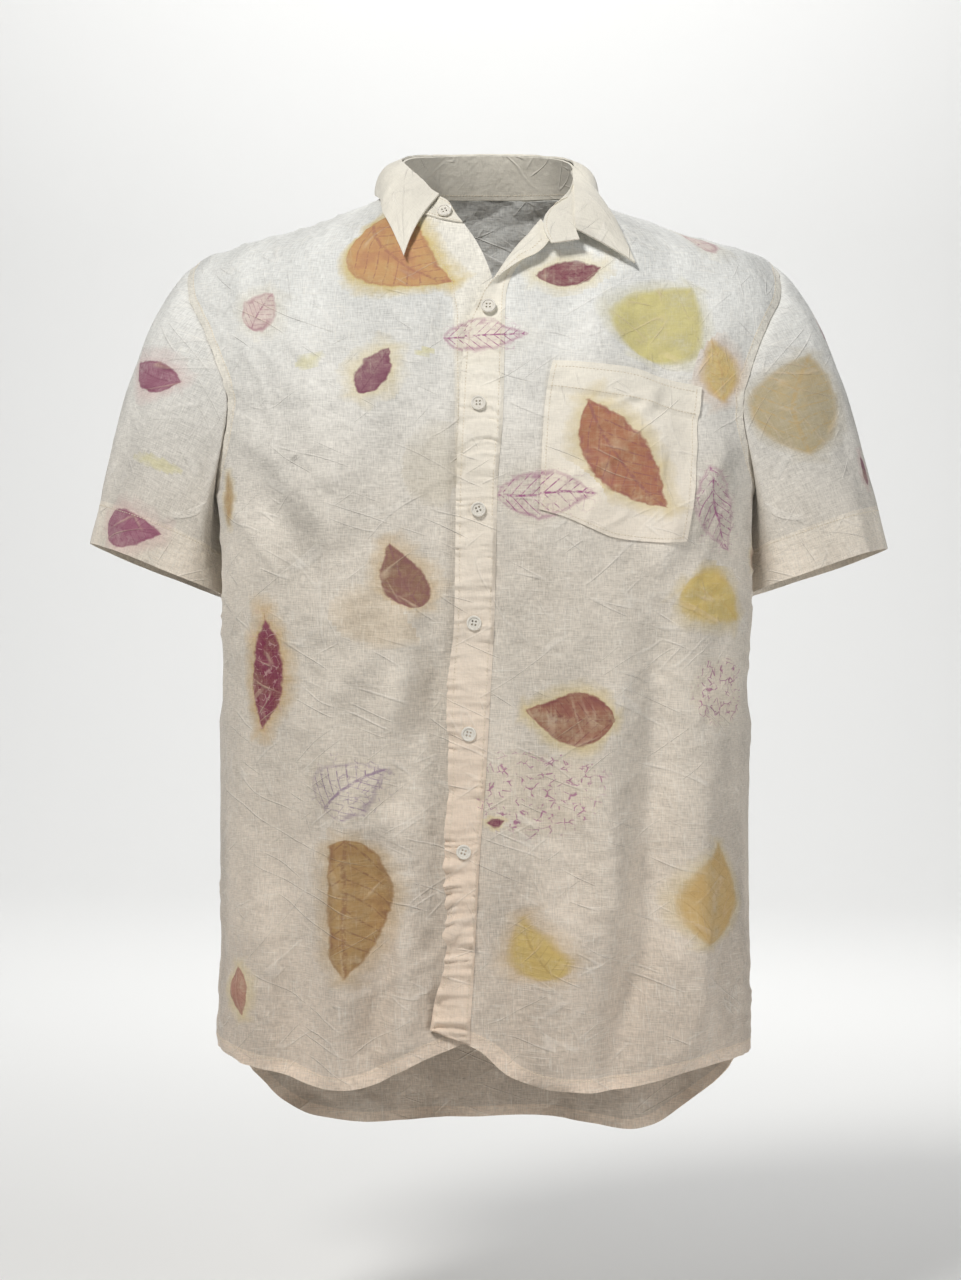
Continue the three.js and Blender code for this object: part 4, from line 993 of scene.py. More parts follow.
def linen(name, doubled):
    """Linen with leaf prints, and smoother where it is doubled."""
    p = Paint(name, Roughness=0.86, Sheen_Weight=0.2, Sheen_Roughness=0.5, Specular_IOR_Level=0.25)
    mm = p.scaled(p.node("ShaderNodeUVMap", 0, settings=(("uv_map", "cloth"),)), (1000, 1000, 1000))
    coarse, softness = (0.4, 2.0) if doubled else (1.0, 2.8)
    fine, thick, slub = yarn(p, mm)
    crease = broken_creases(p, mm)
    # Broad clouds and long upright bands of lighter and darker tone: partly dye stains, partly painted light
    # and shade of soft folds.
    lump, stain_and_shade_cloud = p.noise(mm, 0.16, 2.0, 0.6), p.noise(mm, 0.022, 3.0)
    bands = p.noise(p.scaled(mm, (0.022, 0.0045, 1)), 1.0, 1.0)
    tone = 0.985 + fine * 0.5 * coarse + 0.15 * coarse * (lump - 0.5)
    tone = tone + 0.36 * (stain_and_shade_cloud - 0.5) + 0.56 * (bands - 0.5) * coarse
    base = p.node("ShaderNodeVectorMath", 0, shaded_bare_cloth(p, doubled), tone, settings=TIMES)
    base = p.mix(slub * 0.4 * coarse, base, colour(*SLUB_PALE))
    # Painted highlight: the crease lines are made paler in colour, as if lit along their ridges.
    base = p.mix(crease * 0.2, base, colour(*CREASE_HIGHLIGHT))
    base = printed(p, mm, base, slub, crease)
    relief = (thick * 0.24 + fine * 0.3) * coarse + crease * 0.7 + p.noise(mm, 0.085, 3.0, 0.55) * softness
    return p.finish(base, relief, 0.0009, 0.8)


single = linen("linen", False)
double = linen("doubled_linen", True)


def clouded(name, scale, detail, dark, pale, **constants):
    """A plain finish that drifts between two colours."""
    p = Paint(name, **constants)
    shade = p.noise(p.node("ShaderNodeTexCoord", 3), scale, detail)
    return p.finish(p.mix(shade, colour(*dark), colour(*pale)))


PEARL = {"Roughness": 0.22, "Coat_Weight": 0.5, "Specular_IOR_Level": 0.6}
pearl = clouded("pearl", 180.0, 1.0, (224, 218, 206), (242, 238, 229), **PEARL)
thread = clouded("thread", 90.0, 2.0, (214, 200, 176), (236, 226, 206), Roughness=0.6)


def show(ob, node, material):
    """A piece that replaces its node."""
    ob.data.materials.append(material)
    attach(ob, "root")
    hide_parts(node)
    return ob


def near_edge(plan, line, reach):
    """Share of a band's width at each point, from 0 on the line to 1 at reach and beyond."""
    return np.minimum(1.6, line_gap(plan, line) / reach)


WALL, EDGE = 0.7, 1.1  # thickness of the cloth, and of its folded edges
ARM_BAND, FRONT_HEM, BACK_HEM_BAND, FACING = 9.0, 11.0, 9.0, 27.0  # widths of the folded edges
# Seam puckers: length, height, reach from the seam.
HEM_PUCKER, BACK_HEM_PUCKER = (9, 0.7, 14), (9, 0.7, 12)
ARM_PUCKER, SIDE_PUCKER = (8, 0.6, 12), (11, 0.5, 9)
# The right front is pressed back under the placket: depth, start before the free edge, width of the slope.
UNDERLAP, LAP_FROM, LAP_SLOPE = 2.9, 40, 24
PLACKET_TOP = -82


def panel(name, plan, side, back, sink, bands, ripple):
    """Front or back panel on the folded body, sunk where another piece lies over it."""
    w, z = plan[..., 0], plan[..., 1]
    x = side * bare(w, z, back)[..., 0]
    n = outward(w, z, back)
    outer = cloth(w, z, back, ripple - sink(x, z), side)
    inner = outer - n * mix(EDGE, WALL, smooth(bands / 0.9 - 0.6))[..., None]
    flip = np.array([side, 1, 1])
    ob = make(name, outer * flip, inner * flip, plan * flip[:2], bands)
    return show(ob, name, single)


def seam_ripple(plan, line, pucker, seed):
    """Puckers that run away from a sewn line."""
    wave, high, reach = pucker
    run = np.concatenate([[0], np.cumsum(np.linalg.norm(np.diff(line, axis=0), axis=1))])
    near = np.full(plan.shape[:2], 1e6)
    along = np.zeros(plan.shape[:2])
    for k, (a, b) in enumerate(zip(line[:-1], line[1:])):
        d = b - a
        t = np.clip(((plan - a) @ d) / max(d @ d, 1e-9), 0, 1)
        gap = np.linalg.norm(plan - a - t[..., None] * d, axis=-1)
        on = gap < near
        near[on] = gap[on]
        along[on] = (run[k] + t * (run[k + 1] - run[k]))[on]
    return high * noise(along / wave, near / (3 * reach) + 5, seed) * np.exp(-((near / reach) ** 2))


def under_placket(x, z):
    """How far the right front is pressed back by the placket, less and less where this is rolled open."""
    opened = mix(-5, -30, np.clip((z - PLACKET_TOP) / 60, 0, 1))
    cover = np.where(z > PLACKET_TOP, opened, column(PLACKET, 1, z))
    high = np.where(z > PLACKET_TOP - 10, smooth((-25 - z) / 30), 1)
    return UNDERLAP * smooth((x - cover + LAP_FROM) / LAP_SLOPE) * high


def on_top(x, z):
    return 0 * x


# Right front.
top = top_edge(RIGHT_NECK, False)
outer_side = outer_edge(False, RIGHT_HEM[0, 1])
z = mix(RIGHT_NECK[0][1], RIGHT_HEM[-1, 1], DOWN)
centre = np.stack([along_from_x(column(RIGHT_EDGE, 1, z), z, False), z], -1)
foot = hem_edge(RIGHT_HEM, -RIGHT_HEM[-1, 0], -1, False)
right_plan = filled(top, foot, centre, outer_side, HALF, DOWN)
arm = armhole(False)
bands = np.minimum.reduce(
    [
        near_edge(right_plan, foot, FRONT_HEM),
        near_edge(right_plan, centre, FACING),
        near_edge(right_plan, arm, ARM_BAND),
    ]
)
ripple = seam_ripple(right_plan, foot, HEM_PUCKER, 3) + seam_ripple(right_plan, arm, ARM_PUCKER, 4)
ripple = ripple + seam_ripple(right_plan, outer_side[ARM_ROWS:], SIDE_PUCKER, 5)
panel("front_right", right_plan, -1, False, under_placket, bands, ripple)
right_foot = foot

# Left front.
top = top_edge(LEFT_NECK, False)
outer_side = outer_edge(False, LEFT_HEM[-1, 1])
z = mix(LEFT_NECK[0][1], LEFT_HEM[0, 1], DOWN)
centre = np.stack([along_from_x(column(PLACKET, 1, z), z, False), z], -1)
foot = hem_edge(LEFT_HEM, LEFT_HEM[0, 0], 1, False)
left_plan = filled(top, foot, centre, outer_side, HALF, DOWN)
bands = np.minimum(near_edge(left_plan, foot, FRONT_HEM), near_edge(left_plan, arm, ARM_BAND))
ripple = seam_ripple(left_plan, foot, HEM_PUCKER, 6) + seam_ripple(left_plan, arm, ARM_PUCKER, 7)
ripple = ripple + seam_ripple(left_plan, outer_side[ARM_ROWS:], SIDE_PUCKER, 8)
panel("front_left", left_plan, 1, False, on_top, bands, ripple)
left_foot = foot

# Back.
mirror = np.array([-1, 1])
half_top = top_edge(BACK_NECK, True)
top = np.vstack([half_top[:0:-1] * mirror, half_top])
foot = np.vstack([hem_edge(BACK_HEM, 0, -1, True)[:0:-1] * mirror, hem_edge(BACK_HEM, 0, 1, True)])
sides = outer_edge(True, BACK_HEM[0, 1]) * mirror, outer_edge(True, BACK_HEM[-1, 1])
back_plan = filled(top, foot, *sides, np.linspace(0, 1, len(top)), DOWN)
arm_back = armhole(True)
bands = np.minimum.reduce(
    [
        near_edge(back_plan, foot, BACK_HEM_BAND),
        near_edge(back_plan, arm_back, ARM_BAND),
        near_edge(back_plan, arm_back * mirror, ARM_BAND),
    ]
)
ripple = seam_ripple(back_plan, foot, BACK_HEM_PUCKER, 9)
for line in (arm_back, arm_back * mirror):
    ripple = ripple + seam_ripple(back_plan, line, ARM_PUCKER, 10)
for line in sides:
    ripple = ripple + seam_ripple(back_plan, line[ARM_ROWS:], SIDE_PUCKER, 11)
panel("back", back_plan, 1, True, on_top, bands, ripple)
back_foot = foot


def grid_normals(grid, toward=None, loop=False):
    """Unit normals of a grid, all on one side: the one that toward points to."""
    if loop:
        wrapped = np.concatenate([grid[:, -1:], grid, grid[:, :1]], 1)
        across = (wrapped[:, 2:] - wrapped[:, :-2]) / 2
    else:
        across = np.gradient(grid, axis=1)
    n = unit(np.cross(across, np.gradient(grid, axis=0)))
    return n if toward is None or (n @ np.array(toward, float)).sum() >= 0 else -n


SLEEVE_ROWS, BAND_ROWS = 84, 18  # rows of a sleeve, those of its hem band among them
# Waves of a sleeve: height, length round it, length along it.
SLEEVE_WAVES = [(1.6, 34, 60), (0.8, 15, 30), (0.3, 7, 12)]


def ring_noise(arc, girth, far, around, along, seed):
    """Noise on a sleeve that meets itself at the underarm."""
    here, before = (noise(a / around, far / along, seed) for a in (arc, arc - girth))
    return mix(here, before, smooth(arc / girth * 4 - 3))


def cuff(turn, out_x, out_z, in_x, in_z, half, drop):
    """Rim of a sleeve's hem: an oval between its outer and inner end, lower at the back."""
    out, deep = -np.cos(turn), -np.sin(turn)
    x = (out_x + in_x) / 2 + out * (out_x - in_x) / 2
    z = (out_z + in_z) / 2 + out * (out_z - in_z) / 2 - drop * (1 + deep) / 2
    return np.stack([x, deep * half, z], -1)


def sleeve(name, side, out_x, out_z, in_x, in_z, half, drop):
    """Sleeve from the armhole to its cuff, as rings from the underarm round the front, the top and the rear."""
    ring = np.vstack([armhole(False)[:0:-1], armhole(True)[:ARM_ROWS]])
    count = len(ring)
    is_back = (np.arange(count) >= ARM_ROWS)[:, None]
    seam, normal = (np.where(is_back, f(*ring.T, True), f(*ring.T, False)) for f in (bare, outward))
    share = np.arange(count) / count
    turn = 2 * math.pi * np.arange(count) / count
    outside = (1 - np.cos(turn)) / 2
    radial = unit(np.stack([-np.cos(turn) * 0.9, -np.sin(turn), outside * 0.35], -1))
    hem = cuff(turn, out_x, out_z, in_x, in_z, half, drop)
    length = np.linalg.norm(hem - seam, axis=-1)
    # Away from the panels, across the armhole.
    away = unit(np.cross(np.roll(seam, -1, 0) - np.roll(seam, 1, 0), normal))
    across = np.roll(seam, -count // 2, 0) - seam
    across[0] = seam[ARM_ROWS] - seam[0]
    away = away * np.where((away * across).sum(-1) < 0, -1, 1)[:, None]
    hollow = np.clip(0.8 - (unit(hem - seam) * away).sum(-1), 0, 1)
    # Rows: closer near the armhole, then those of the band.
    upper = np.linspace(0, 1, SLEEVE_ROWS - BAND_ROWS)[:-1] ** 1.15
    band_from = 1 - SLEEVE_BAND / length
    lower = np.arange(BAND_ROWS + 1) / BAND_ROWS
    t = np.vstack([upper[:, None] * band_from, mix(band_from, 1, lower[:, None])])
    far = t * length
    girth = 2 * math.pi * half
    arc = share * girth
    seed = 60 if side < 0 else 70
    bulge = SLEEVE_BULGE * outside**1.5 * np.sin(math.pi * t**0.62)
    fold = sum(high * np.exp(-(((share - at) / wide) ** 2)) for at, wide, high in SLEEVE_FOLDS)
    wave = sum(
        high * ring_noise(arc, girth, far, around, along, seed + k)
        for k, (high, around, along) in enumerate(SLEEVE_WAVES)
    )
    gathers = 0.6 * noise(arc / 8 + 0 * far, far / 40, seed + 3) * np.exp(-((far / 12) ** 2))
    rise = bulge + fold * smooth(t / 0.5) + wave * smooth(t / 0.12) + gathers * smooth(t / 0.02)
    clear = (1 - t)[..., None]
    grid = mix(seam, hem, t[..., None]) + radial * rise[..., None]
    grid = grid + away * 2 * SEAM * clear + normal * 2.2 * hollow[:, None] * clear
    n = grid_normals(grid, loop=True)
    face = np.stack([-np.cos(turn), -np.sin(turn), 0 * turn], -1)
    n = n * np.where((n * face).sum(-1) < 0, -1, 1)[..., None]
    n[0] = unit(mix(n[0], normal, smooth(outside)[:, None]))
    bands = np.where(t >= band_from - 1e-6, 0.5, 1.5)
    inner = grid - n * np.where(bands < 1, EDGE, WALL)[..., None]
    up = length - far
    closed = np.append(arc, girth) + 0 * up[:, :1]
    plan = np.stack([closed, np.concatenate([up, up[:, :1]], 1)], -1)
    flip = np.array([side, 1, 1])
    show(make(name, grid * flip, inner * flip, plan, bands, loop=True), name, single)
    return grid * flip


sleeve_grids = {name: sleeve(name, *row) for name, row in SLEEVES.items()}


def off_neck(x, z, off, back):
    """Point a distance in front of the neck, or behind it."""
    a, d, n, y = section(z, back)
    across = np.minimum(1, np.abs(x) / a)
    deep = d * (1 - across**n) ** (1 / n) + off
    return np.stack([x, y + (1 if back else -1) * deep, z], -1)


def between(points, steps):
    """Smooth line through points, steps to each stretch."""
    p = np.concatenate([2 * points[:1] - points[1:2], points, 2 * points[-1:] - points[-2:-1]])
    out = []
    for k in range(1, len(p) - 2):
        t = (np.arange(steps) / steps).reshape(-1, *[1] * (p.ndim - 1))
        out.append(stretch(*p[k - 1 : k + 3], t))
    return np.concatenate([*out, p[-2:-1]])


def doubled(name, grid, wall, toward, plan, ripple=0):
    """Piece of doubled cloth, so thick, on the side of the grid that toward points to."""
    n = grid_normals(grid, toward)
    outer = grid + n * (wall + ripple)[..., None]
    ob = make(name, outer, grid + n * np.minimum(0, ripple)[..., None], plan, 0 * plan[..., 0])
    return show(ob, name, double)


def measured(grid):
    """Plan coordinates of a grid from its own lengths."""
    down = np.concatenate([[0], np.cumsum(np.linalg.norm(np.diff(grid, axis=0), axis=-1).mean(1))])
    across = np.concatenate([[0], np.cumsum(np.linalg.norm(np.diff(grid, axis=1), axis=-1).mean(0))])
    return np.stack(np.meshgrid(across, down), -1)


# Collar stand.
STEPS = 9  # columns to each station
STAND_ROWS, LEAF_ROWS, COLLAR_WALL = 22, 44, 1.5
low = np.array([off_neck(s[0], s[1], s[2], s[6]) for s in STAND])
high = np.array([off_neck(s[3], s[4], s[5], s[6]) for s in STAND])
share = np.linspace(0, 1, STAND_ROWS)[:, None, None]
stand_grid = mix(between(low, STEPS)[None], between(high, STEPS)[None], share)
few_rows = mix(low[None], high[None], np.linspace(0, 1, 4)[:, None, None])
stand_top_normal = grid_normals(few_rows, (0, 1, 0))[-1]
plan = measured(stand_grid)
pucker = 0.25 * noise(plan[..., 0] / 6, plan[..., 1] / 14, 81)
doubled("collar_stand", stand_grid, COLLAR_WALL, (0, 1, 0), plan, pucker)

# Collar leaf.
rows = []
share = np.linspace(0, 1, LEAF_ROWS)[:, None]
for stand, x, z, off, belly, back in LEAF:
    if stand >= OPEN_STATION:
        fold = high[stand] - unit(high[stand] - low[stand]) * 0.4
    else:
        fold = high[stand] + stand_top_normal[stand] * 2.4
    rim = off_neck(x, z, off, back)
    way = unit(np.array([x * 0.7, 60 if back else -25, 45]))
    rows.append(mix(fold, rim, share) + way * belly * 4 * share * (1 - share))
leaf_grid = between(np.array(rows), STEPS).transpose(1, 0, 2)
plan = measured(leaf_grid)
pucker = 0.3 * noise(plan[..., 0] / 7, plan[..., 1] / 9, 83)
pucker = pucker + 0.4 * noise(plan[..., 0] / 22, plan[..., 1] / 20, 84)
doubled("collar_leaf", leaf_grid, COLLAR_WALL, (0, 1, 1), plan, pucker)

# Placket, its top rolled open.
PLACKET_ROWS = 440  # rows of its flat part, close enough for puckers
roll_way = between(np.array(ROLL)[:, :1], 6)[:, 0]
roll_rise = between(np.array(ROLL)[:, 1:], 6)[:, 0]
across = np.linspace(0, 1, len(roll_way))
first, then = np.minimum(1, roll_way), np.maximum(0, roll_way - 1)
xs, zs, offs = [], [], []
for bx, bz, rx, rz, fx, fz, opened in between(LAPEL, 8):
    flat, turned = mix(bx, fx, across), mix(mix(bx, rx, first), fx, then)
    xs.append(mix(flat, turned, opened))
    flat, turned = mix(bz, fz, across), mix(mix(bz, rz, first), fz, then)
    zs.append(mix(flat, turned, opened))
    offs.append(LAID + roll_rise * opened)
for t in np.arange(1, PLACKET_ROWS + 1) / PLACKET_ROWS:
    z = mix(FLAT_FROM, mix(*PLACKET_FOOT, across), t)
    xs.append(mix(column(PLACKET, 2, z), column(PLACKET, 1, z), across))
    zs.append(z)
    offs.append(LAID + 0 * z)
xs, zs, offs = np.array(xs), np.array(zs), np.array(offs)
ways = along_from_x(xs, zs, False)
flat_part = smooth((-80 - zs) / 30)
waver = 3 * noise(xs / 20, zs / 40, 90)
pucker = 0.8 * np.abs(noise(xs / 26, (zs + waver) / 4.2, 91)) * flat_part
pucker = pucker + 1.3 * np.maximum(0, noise(xs / 36, (zs + 2 * waver) / 8, 92)) * flat_part
pucker = pucker * mix(0.6, 1.3, np.abs(2 * across - 1)) * mix(0.8, 1.5, smooth((-480 - zs) / 100))
placket_grid = cloth(ways, zs, False, offs)
# It is thinnest at its sewn edge.
taper = smooth(across / 0.1)
plan = np.stack([ways, zs], -1)
doubled("placket", placket_grid, 0.15 + 0.85 * taper + 0 * xs, (0, -1, 0), plan, 2.5 * pucker * taper)

# Pocket: edges as x, z.
POCKET = {
    "top": [(53.5, -130.5), (97, -134.5), (121.5, -137.5), (140, -142.6), (173, -150)],
    "right": [(173, -150), (169.5, -194.5), (159, -273.5)],
    "foot": [(42.5, -248.5), (64, -255), (85, -264), (104, -271), (137, -274.5), (159, -273.5)],
    "left": [(53.5, -130.5), (49, -151), (45.5, -184), (42.5, -248.5)],
}
POCKET_COLUMNS, POCKET_ROWS = 71, 81
POCKET_WIDE, POCKET_LONG, POCKET_WALL = 110, 130, 1.0
# The mouth stands off by its bow. The band ends in a step with a groove below it, as shares of the height.
MOUTH_BOW, BAND_FOOT, BAND_STEP, GROOVE_AT, SOFT_STEP = 2.5, 0.19, 1.2, 0.205, 0.012
down, across = np.linspace(0, 1, POCKET_ROWS + 1), np.linspace(0, 1, POCKET_COLUMNS + 1)
top, foot = (spline(POCKET[edge], POCKET_COLUMNS) for edge in ("top", "foot"))
left, right = (spline(POCKET[edge], POCKET_ROWS) for edge in ("left", "right"))
pocket_plan = filled(top, foot, left, right, across, down)
x, z = pocket_plan[..., 0], pocket_plan[..., 1]
ways = along_from_x(x, z, False)
plan = np.stack([ways, z], -1)
bow = MOUTH_BOW * np.sin(math.pi * across)[None] * (1 - smooth(down / 0.6))[:, None]
from_side, from_foot = np.minimum(across, 1 - across) * POCKET_WIDE, (1 - down) * POCKET_LONG
from_edge = np.minimum(from_side[None], from_foot[:, None])
pucker = 0.5 * noise(x / 7, z / 7, 95) * np.exp(-((from_edge / 8) ** 2)) + 0.4 * noise(x / 15, z / 16, 96)
pucker = pucker * smooth(from_edge / 2.0) + BAND_STEP * smooth((BAND_FOOT - down) / SOFT_STEP)[:, None]
pucker = pucker - 0.5 * np.exp(-(((down - GROOVE_AT) / SOFT_STEP) ** 2))[:, None]
under = cloth(ways, z, False, LAID + bow)
over = cloth(ways, z, False, LAID + bow + POCKET_WALL + pucker)
show(make("pocket", over, under, plan, 0 * x), "pocket", double)

for name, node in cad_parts.items():
    if name.startswith("button"):
        node.data.materials.clear()
        node.data.materials.append(pearl)


# Stitches: the step from one to the next, half length and half thickness.
STITCH = {"Pitch": 2.7, "Length": 1.05, "Thickness": 0.34}
SHORTEST, LONGEST = 0.8, 1.1  # share of that length


def stitch_tree():
    """Geometry tree: one stitch at each step along the edges of a mesh."""
    tree = bpy.data.node_groups.new("stitches", "GeometryNodeTree")
    face = tree.interface
    face.new_socket("Geometry", in_out="INPUT", socket_type="NodeSocketGeometry")
    for label, value in STITCH.items():
        face.new_socket(label, in_out="INPUT", socket_type="NodeSocketFloat").default_value = value * MM
    face.new_socket("Geometry", in_out="OUTPUT", socket_type="NodeSocketGeometry")
    add, link = tree.nodes.new, tree.links.new
    given, result = add("NodeGroupInput"), add("NodeGroupOutput")
    curve_of, even = add("GeometryNodeMeshToCurve"), add("GeometryNodeResampleCurve")
    even.mode = "LENGTH"
    link(given.outputs["Geometry"], curve_of.inputs[0])
    link(curve_of.outputs[0], even.inputs["Curve"])
    link(given.outputs["Pitch"], even.inputs["Length"])
    way, turn = add("GeometryNodeInputTangent"), add("FunctionNodeAlignRotationToVector")
    turn.axis = "X"
    link(way.outputs[0], turn.inputs["Vector"])
    ball = add("GeometryNodeMeshIcoSphere")
    ball.inputs["Radius"].default_value = 1.0
    ball.inputs["Subdivisions"].default_value = 1
    spread = add("FunctionNodeRandomValue")
    spread.data_type = "FLOAT"
    spread.inputs[2].default_value, spread.inputs[3].default_value = SHORTEST, LONGEST
    spread.inputs["Seed"].default_value = 5
    sized, longer = add("ShaderNodeCombineXYZ"), add("ShaderNodeMath")
    longer.operation = "MULTIPLY"
    link(given.outputs["Length"], longer.inputs[0])
    link(spread.outputs[1], longer.inputs[1])
    link(longer.outputs[0], sized.inputs[0])
    link(given.outputs["Thickness"], sized.inputs[1])
    link(given.outputs["Thickness"], sized.inputs[2])
    put, real = add("GeometryNodeInstanceOnPoints"), add("GeometryNodeRealizeInstances")
    dyed = add("GeometryNodeSetMaterial")
    link(even.outputs[0], put.inputs["Points"])
    link(ball.outputs["Mesh"], put.inputs["Instance"])
    link(turn.outputs[0], put.inputs["Rotation"])
    link(sized.outputs[0], put.inputs["Scale"])
    link(put.outputs[0], real.inputs[0])
    link(real.outputs[0], dyed.inputs["Geometry"])
    dyed.inputs["Material"].default_value = thread
    link(dyed.outputs[0], result.inputs[0])
    return tree


STITCHES = stitch_tree()


def stitch(name, lines, lift=0.05):
    """Rows of stitches on a piece, along lines of points near its outer face."""
    bpy.context.view_layer.update()
    piece = bpy.data.objects[name + "_cloth"]
    points, edges = [], []
    for line in lines:
        start = len(points)
        for spot in line:
            _, near, normal, _ = piece.closest_point_on_mesh(Vector(spot * MM))
            points.append(near + normal * lift * MM)
        edges += [(k, k + 1) for k in range(start, len(points) - 1)]
    mesh = bpy.data.meshes.new(name + "_guide")
    mesh.from_pydata(points, edges, [])
    guide = bpy.data.objects.new(name + "_guide", mesh)
    bpy.context.scene.collection.objects.link(guide)
    guide.modifiers.new("stitches", "NODES").node_group = STITCHES
    bpy.context.view_layer.update()
    shown = guide.evaluated_get(bpy.context.evaluated_depsgraph_get())
    made = bpy.data.objects.new(name + "_stitches", bpy.data.meshes.new_from_object(shown))
    bpy.context.scene.collection.objects.link(made)
    bpy.data.objects.remove(guide)
    made.data.polygons.foreach_set("use_smooth", [True] * len(made.data.polygons))
    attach(made, "root")


def shifted(line, reach, toward):
    """A plan line moved sideways by reach, to the side of the plan point toward."""
    way = unit(np.gradient(line, axis=0))
    side = np.stack([-way[:, 1], way[:, 0]], -1)
    sign = np.sign(((np.array(toward) - line) * side).sum(-1).mean())
    return line + side * sign * reach


def above(line, back, side=1, off=1.6):
    """Points a little outside the cloth, over a line in plan."""
    spot = cloth(line[:, 0], line[:, 1], back, off, side)
    return spot * np.array([side, 1, 1])


IN_HEM, IN_FACING, IN_ARM = 1.5, 2, 1  # how far inside the folded edge the stitches run
MID_CHEST, MID_SIDE, MID_BACK = (90, -150), (90, -300), (0, -300)  # plan points inside the panels
front_arm = shifted(arm, ARM_BAND - IN_ARM, MID_CHEST)[3:-3]
hem_line = shifted(right_foot, FRONT_HEM - IN_HEM, MID_SIDE)
facing_line = shifted(right_plan[:, 0], FACING - IN_FACING, MID_SIDE)[2:-3]
stitch("front_right", [above(line, False, -1) for line in (hem_line, facing_line, front_arm)])
hem_line = shifted(left_foot, FRONT_HEM - IN_HEM, MID_SIDE)
stitch("front_left", [above(line, False) for line in (hem_line, front_arm)])
hem_line = shifted(back_foot, BACK_HEM_BAND - IN_HEM, MID_BACK)
rear_arm = shifted(arm_back, ARM_BAND - IN_ARM, MID_CHEST)[3:-3]
stitch("back", [above(hem_line, True), above(rear_arm, True), above(rear_arm, True, -1)])
for name, grid in sleeve_grids.items():
    row = len(grid) - BAND_ROWS
    ring = np.vstack([grid[row], grid[row, :1]])
    stitch(name, [ring + unit((ring - ring.mean(0)) * (1, 1, 0)) * 0.8])
# On the smaller pieces they run along rows and columns of the grids, from points in front of the cloth.
front_side, up_side = np.array([0, -1, 0]), np.array([0, 0.5, 0.7])
stitch("placket", [placket_grid[4:-2:3, k] + 2.5 * front_side for k in (4, len(roll_way) - 5)])
pocket_lines = over[2:-3, 2], over[-3, 2:-2], over[2:-3, -3], over[14, 2:-2], over[3, 2:-2]
stitch("pocket", [line + front_side for line in pocket_lines])
rim_lines = leaf_grid[-4, 3:-3], leaf_grid[4:-4, 3], leaf_grid[4:-4, -4]
stitch("collar_leaf", [line + 3.2 * up_side for line in rim_lines])
buttoned_end = 6 * STEPS
stand_lines = stand_grid[2, 3:-3], stand_grid[-3, 3:buttoned_end]
stitch("collar_stand", [line + 1.2 * front_side for line in stand_lines])

# Flat cuts: width and length in metres, area in square metres, how it is held and by what.
SHEETS = {
    "front_right": (0.31, 0.79, 0.202, "hung", ("collar_stand", "back")),
    "front_left": (0.34, 0.79, 0.214, "hung", ("collar_stand", "back")),
    "back": (0.6, 0.86, 0.42, "hung", ("collar_stand",)),
    "sleeve_right": (0.58, 0.25, 0.067, "hung", ("front_right", "back")),
    "sleeve_left": (0.58, 0.255, 0.069, "hung", ("front_left", "back")),
    "collar_stand": (0.5, 0.04, 0.0135, "laid", ("front_right", "front_left", "back")),
    "collar_leaf": (0.53, 0.072, 0.0215, "folded", ("collar_stand",)),
    "placket": (0.04, 0.68, 0.0202, "laid", ("front_left",)),
    "pocket": (0.13, 0.14, 0.0165, "laid", ("front_left",)),
}
for name, (width, length, area, held, under_it) in SHEETS.items():
    piece = bpy.data.objects[name + "_cloth"]


# Camera, floor and lights, in metres.
def aimed(ob, target):
    """A camera or light that looks at target."""
    way = Vector(target) - ob.location
    ob.rotation_mode = "QUATERNION"
    ob.rotation_quaternion = way.to_track_quat("-Z", "Y")
    bpy.context.scene.collection.objects.link(ob)
    return ob


def lamp(name, place, target, size, power, tint=(1, 1, 1)):
    light = bpy.data.lights.new(name, "AREA")
    light.shape, light.size, light.energy, light.color = "DISK", size, power, tint
    ob = bpy.data.objects.new(name, light)
    ob.location = place
    return aimed(ob, target)


CAMERA_PLACE, CAMERA_TARGET = (-0.0037, -2.6, -0.32), (-0.0037, 0, -0.3532)
lens = bpy.data.cameras.new("camera")
lens.lens, lens.sensor_width = 88.1, 36
camera = bpy.data.objects.new("camera", lens)
camera.location = CAMERA_PLACE
bpy.context.scene.camera = aimed(camera, CAMERA_TARGET)

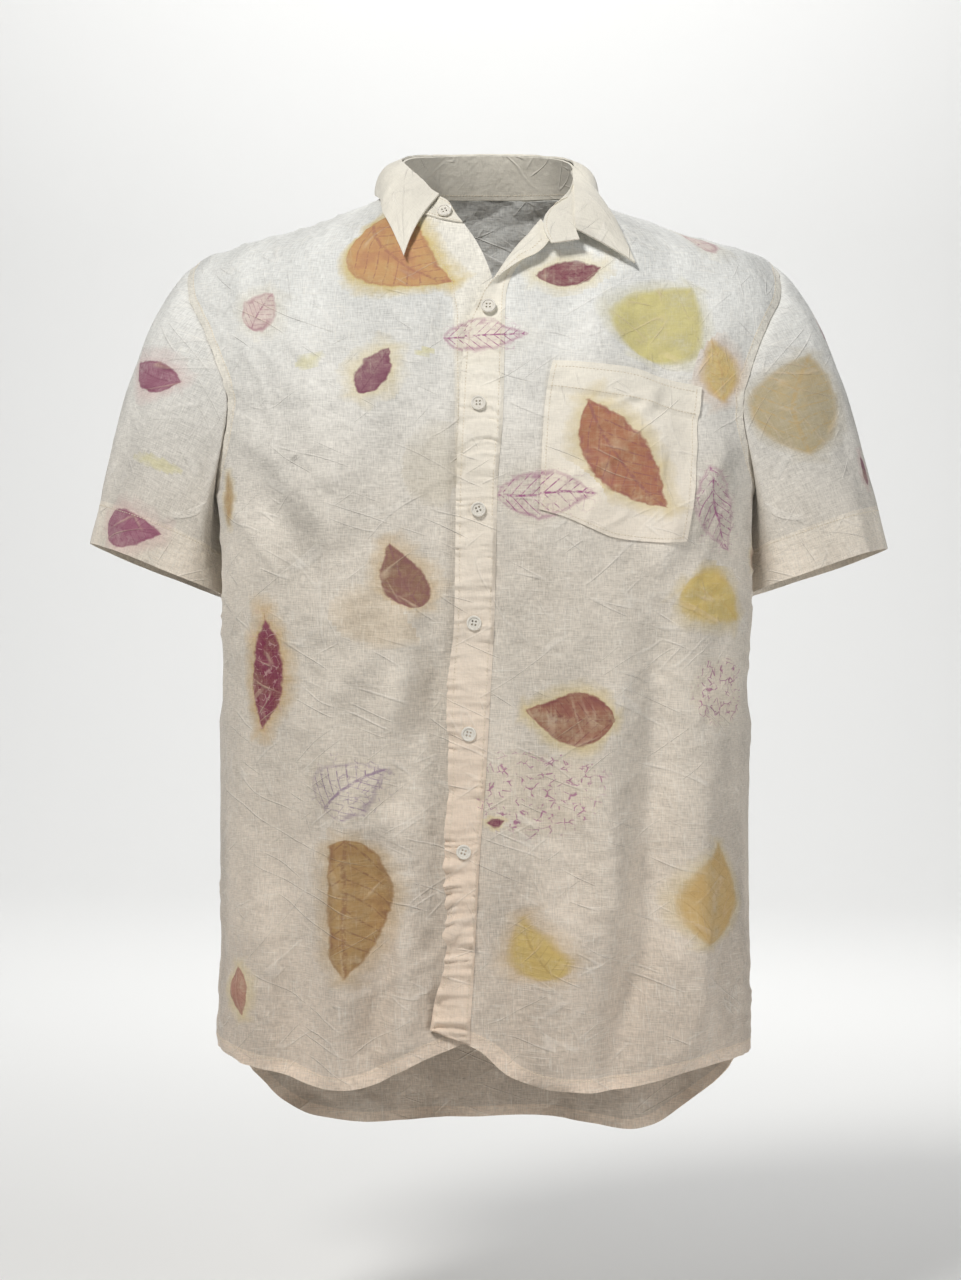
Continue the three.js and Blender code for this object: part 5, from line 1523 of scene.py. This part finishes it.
# The floor runs up behind the shirt in one curve.
FLOOR_HIGH, FLOOR_NEAR, CURVE_FROM, CURVE, WALL_TOP, HALF_WIDE = -0.95, -3.8, 4.2, 1.6, 7.0, 7.0
turns = np.linspace(0, math.pi / 2, 25)
curved = [(CURVE_FROM + CURVE * math.sin(t), FLOOR_HIGH + CURVE * (1 - math.cos(t))) for t in turns]
profile = [(FLOOR_NEAR, FLOOR_HIGH), *curved, (CURVE_FROM + CURVE, WALL_TOP)]
points = [(x, y, z) for y, z in profile for x in (-HALF_WIDE, HALF_WIDE)]
quads = [(2 * k, 2 * k + 1, 2 * k + 3, 2 * k + 2) for k in range(len(profile) - 1)]
sweep = bpy.data.meshes.new("floor")
sweep.from_pydata(points, [], quads)
sweep.polygons.foreach_set("use_smooth", [True] * len(quads))
ground = bpy.data.objects.new("floor", sweep)
bpy.context.scene.collection.objects.link(ground)
pale = Paint("pale_floor", Roughness=0.95, Specular_IOR_Level=0.1)
ground.data.materials.append(pale.finish((0.8, 0.8, 0.79, 1)))

# The camera sees a paler studio than the one that lights the cloth.
LIT_BY, SEEN = 0.12, 0.85
world = bpy.data.worlds.new("studio")
world.use_nodes = True
studio = world.node_tree.nodes["Background"]
studio.inputs["Color"].default_value = (0.86, 0.87, 0.88, 1)
camera_ray = world.node_tree.nodes.new("ShaderNodeLightPath").outputs["Is Camera Ray"]
strength = world.node_tree.nodes.new("ShaderNodeMapRange")
strength.inputs["To Min"].default_value, strength.inputs["To Max"].default_value = LIT_BY, SEEN
world.node_tree.links.new(camera_ray, strength.inputs["Value"])
world.node_tree.links.new(strength.outputs[0], studio.inputs["Strength"])
bpy.context.scene.world = world
# Lamps: place, target, width, power, tint.
lamp("key", (-1.0, -1.75, 1.75), (0, 0, -0.3), 0.7, 58, (1, 0.985, 0.96))
lamp("fill", (2.1, -1.7, 0.1), (0, 0, -0.45), 1.2, 18)
lamp("rear", (0.4, 2.4, 1.3), (0, 0, -0.3), 1.2, 24)
lamp("backdrop", (0, 3.0, 3.2), (0, 5.8, -0.2), 2.6, 150)
bpy.context.scene.view_settings.view_transform = "Standard"
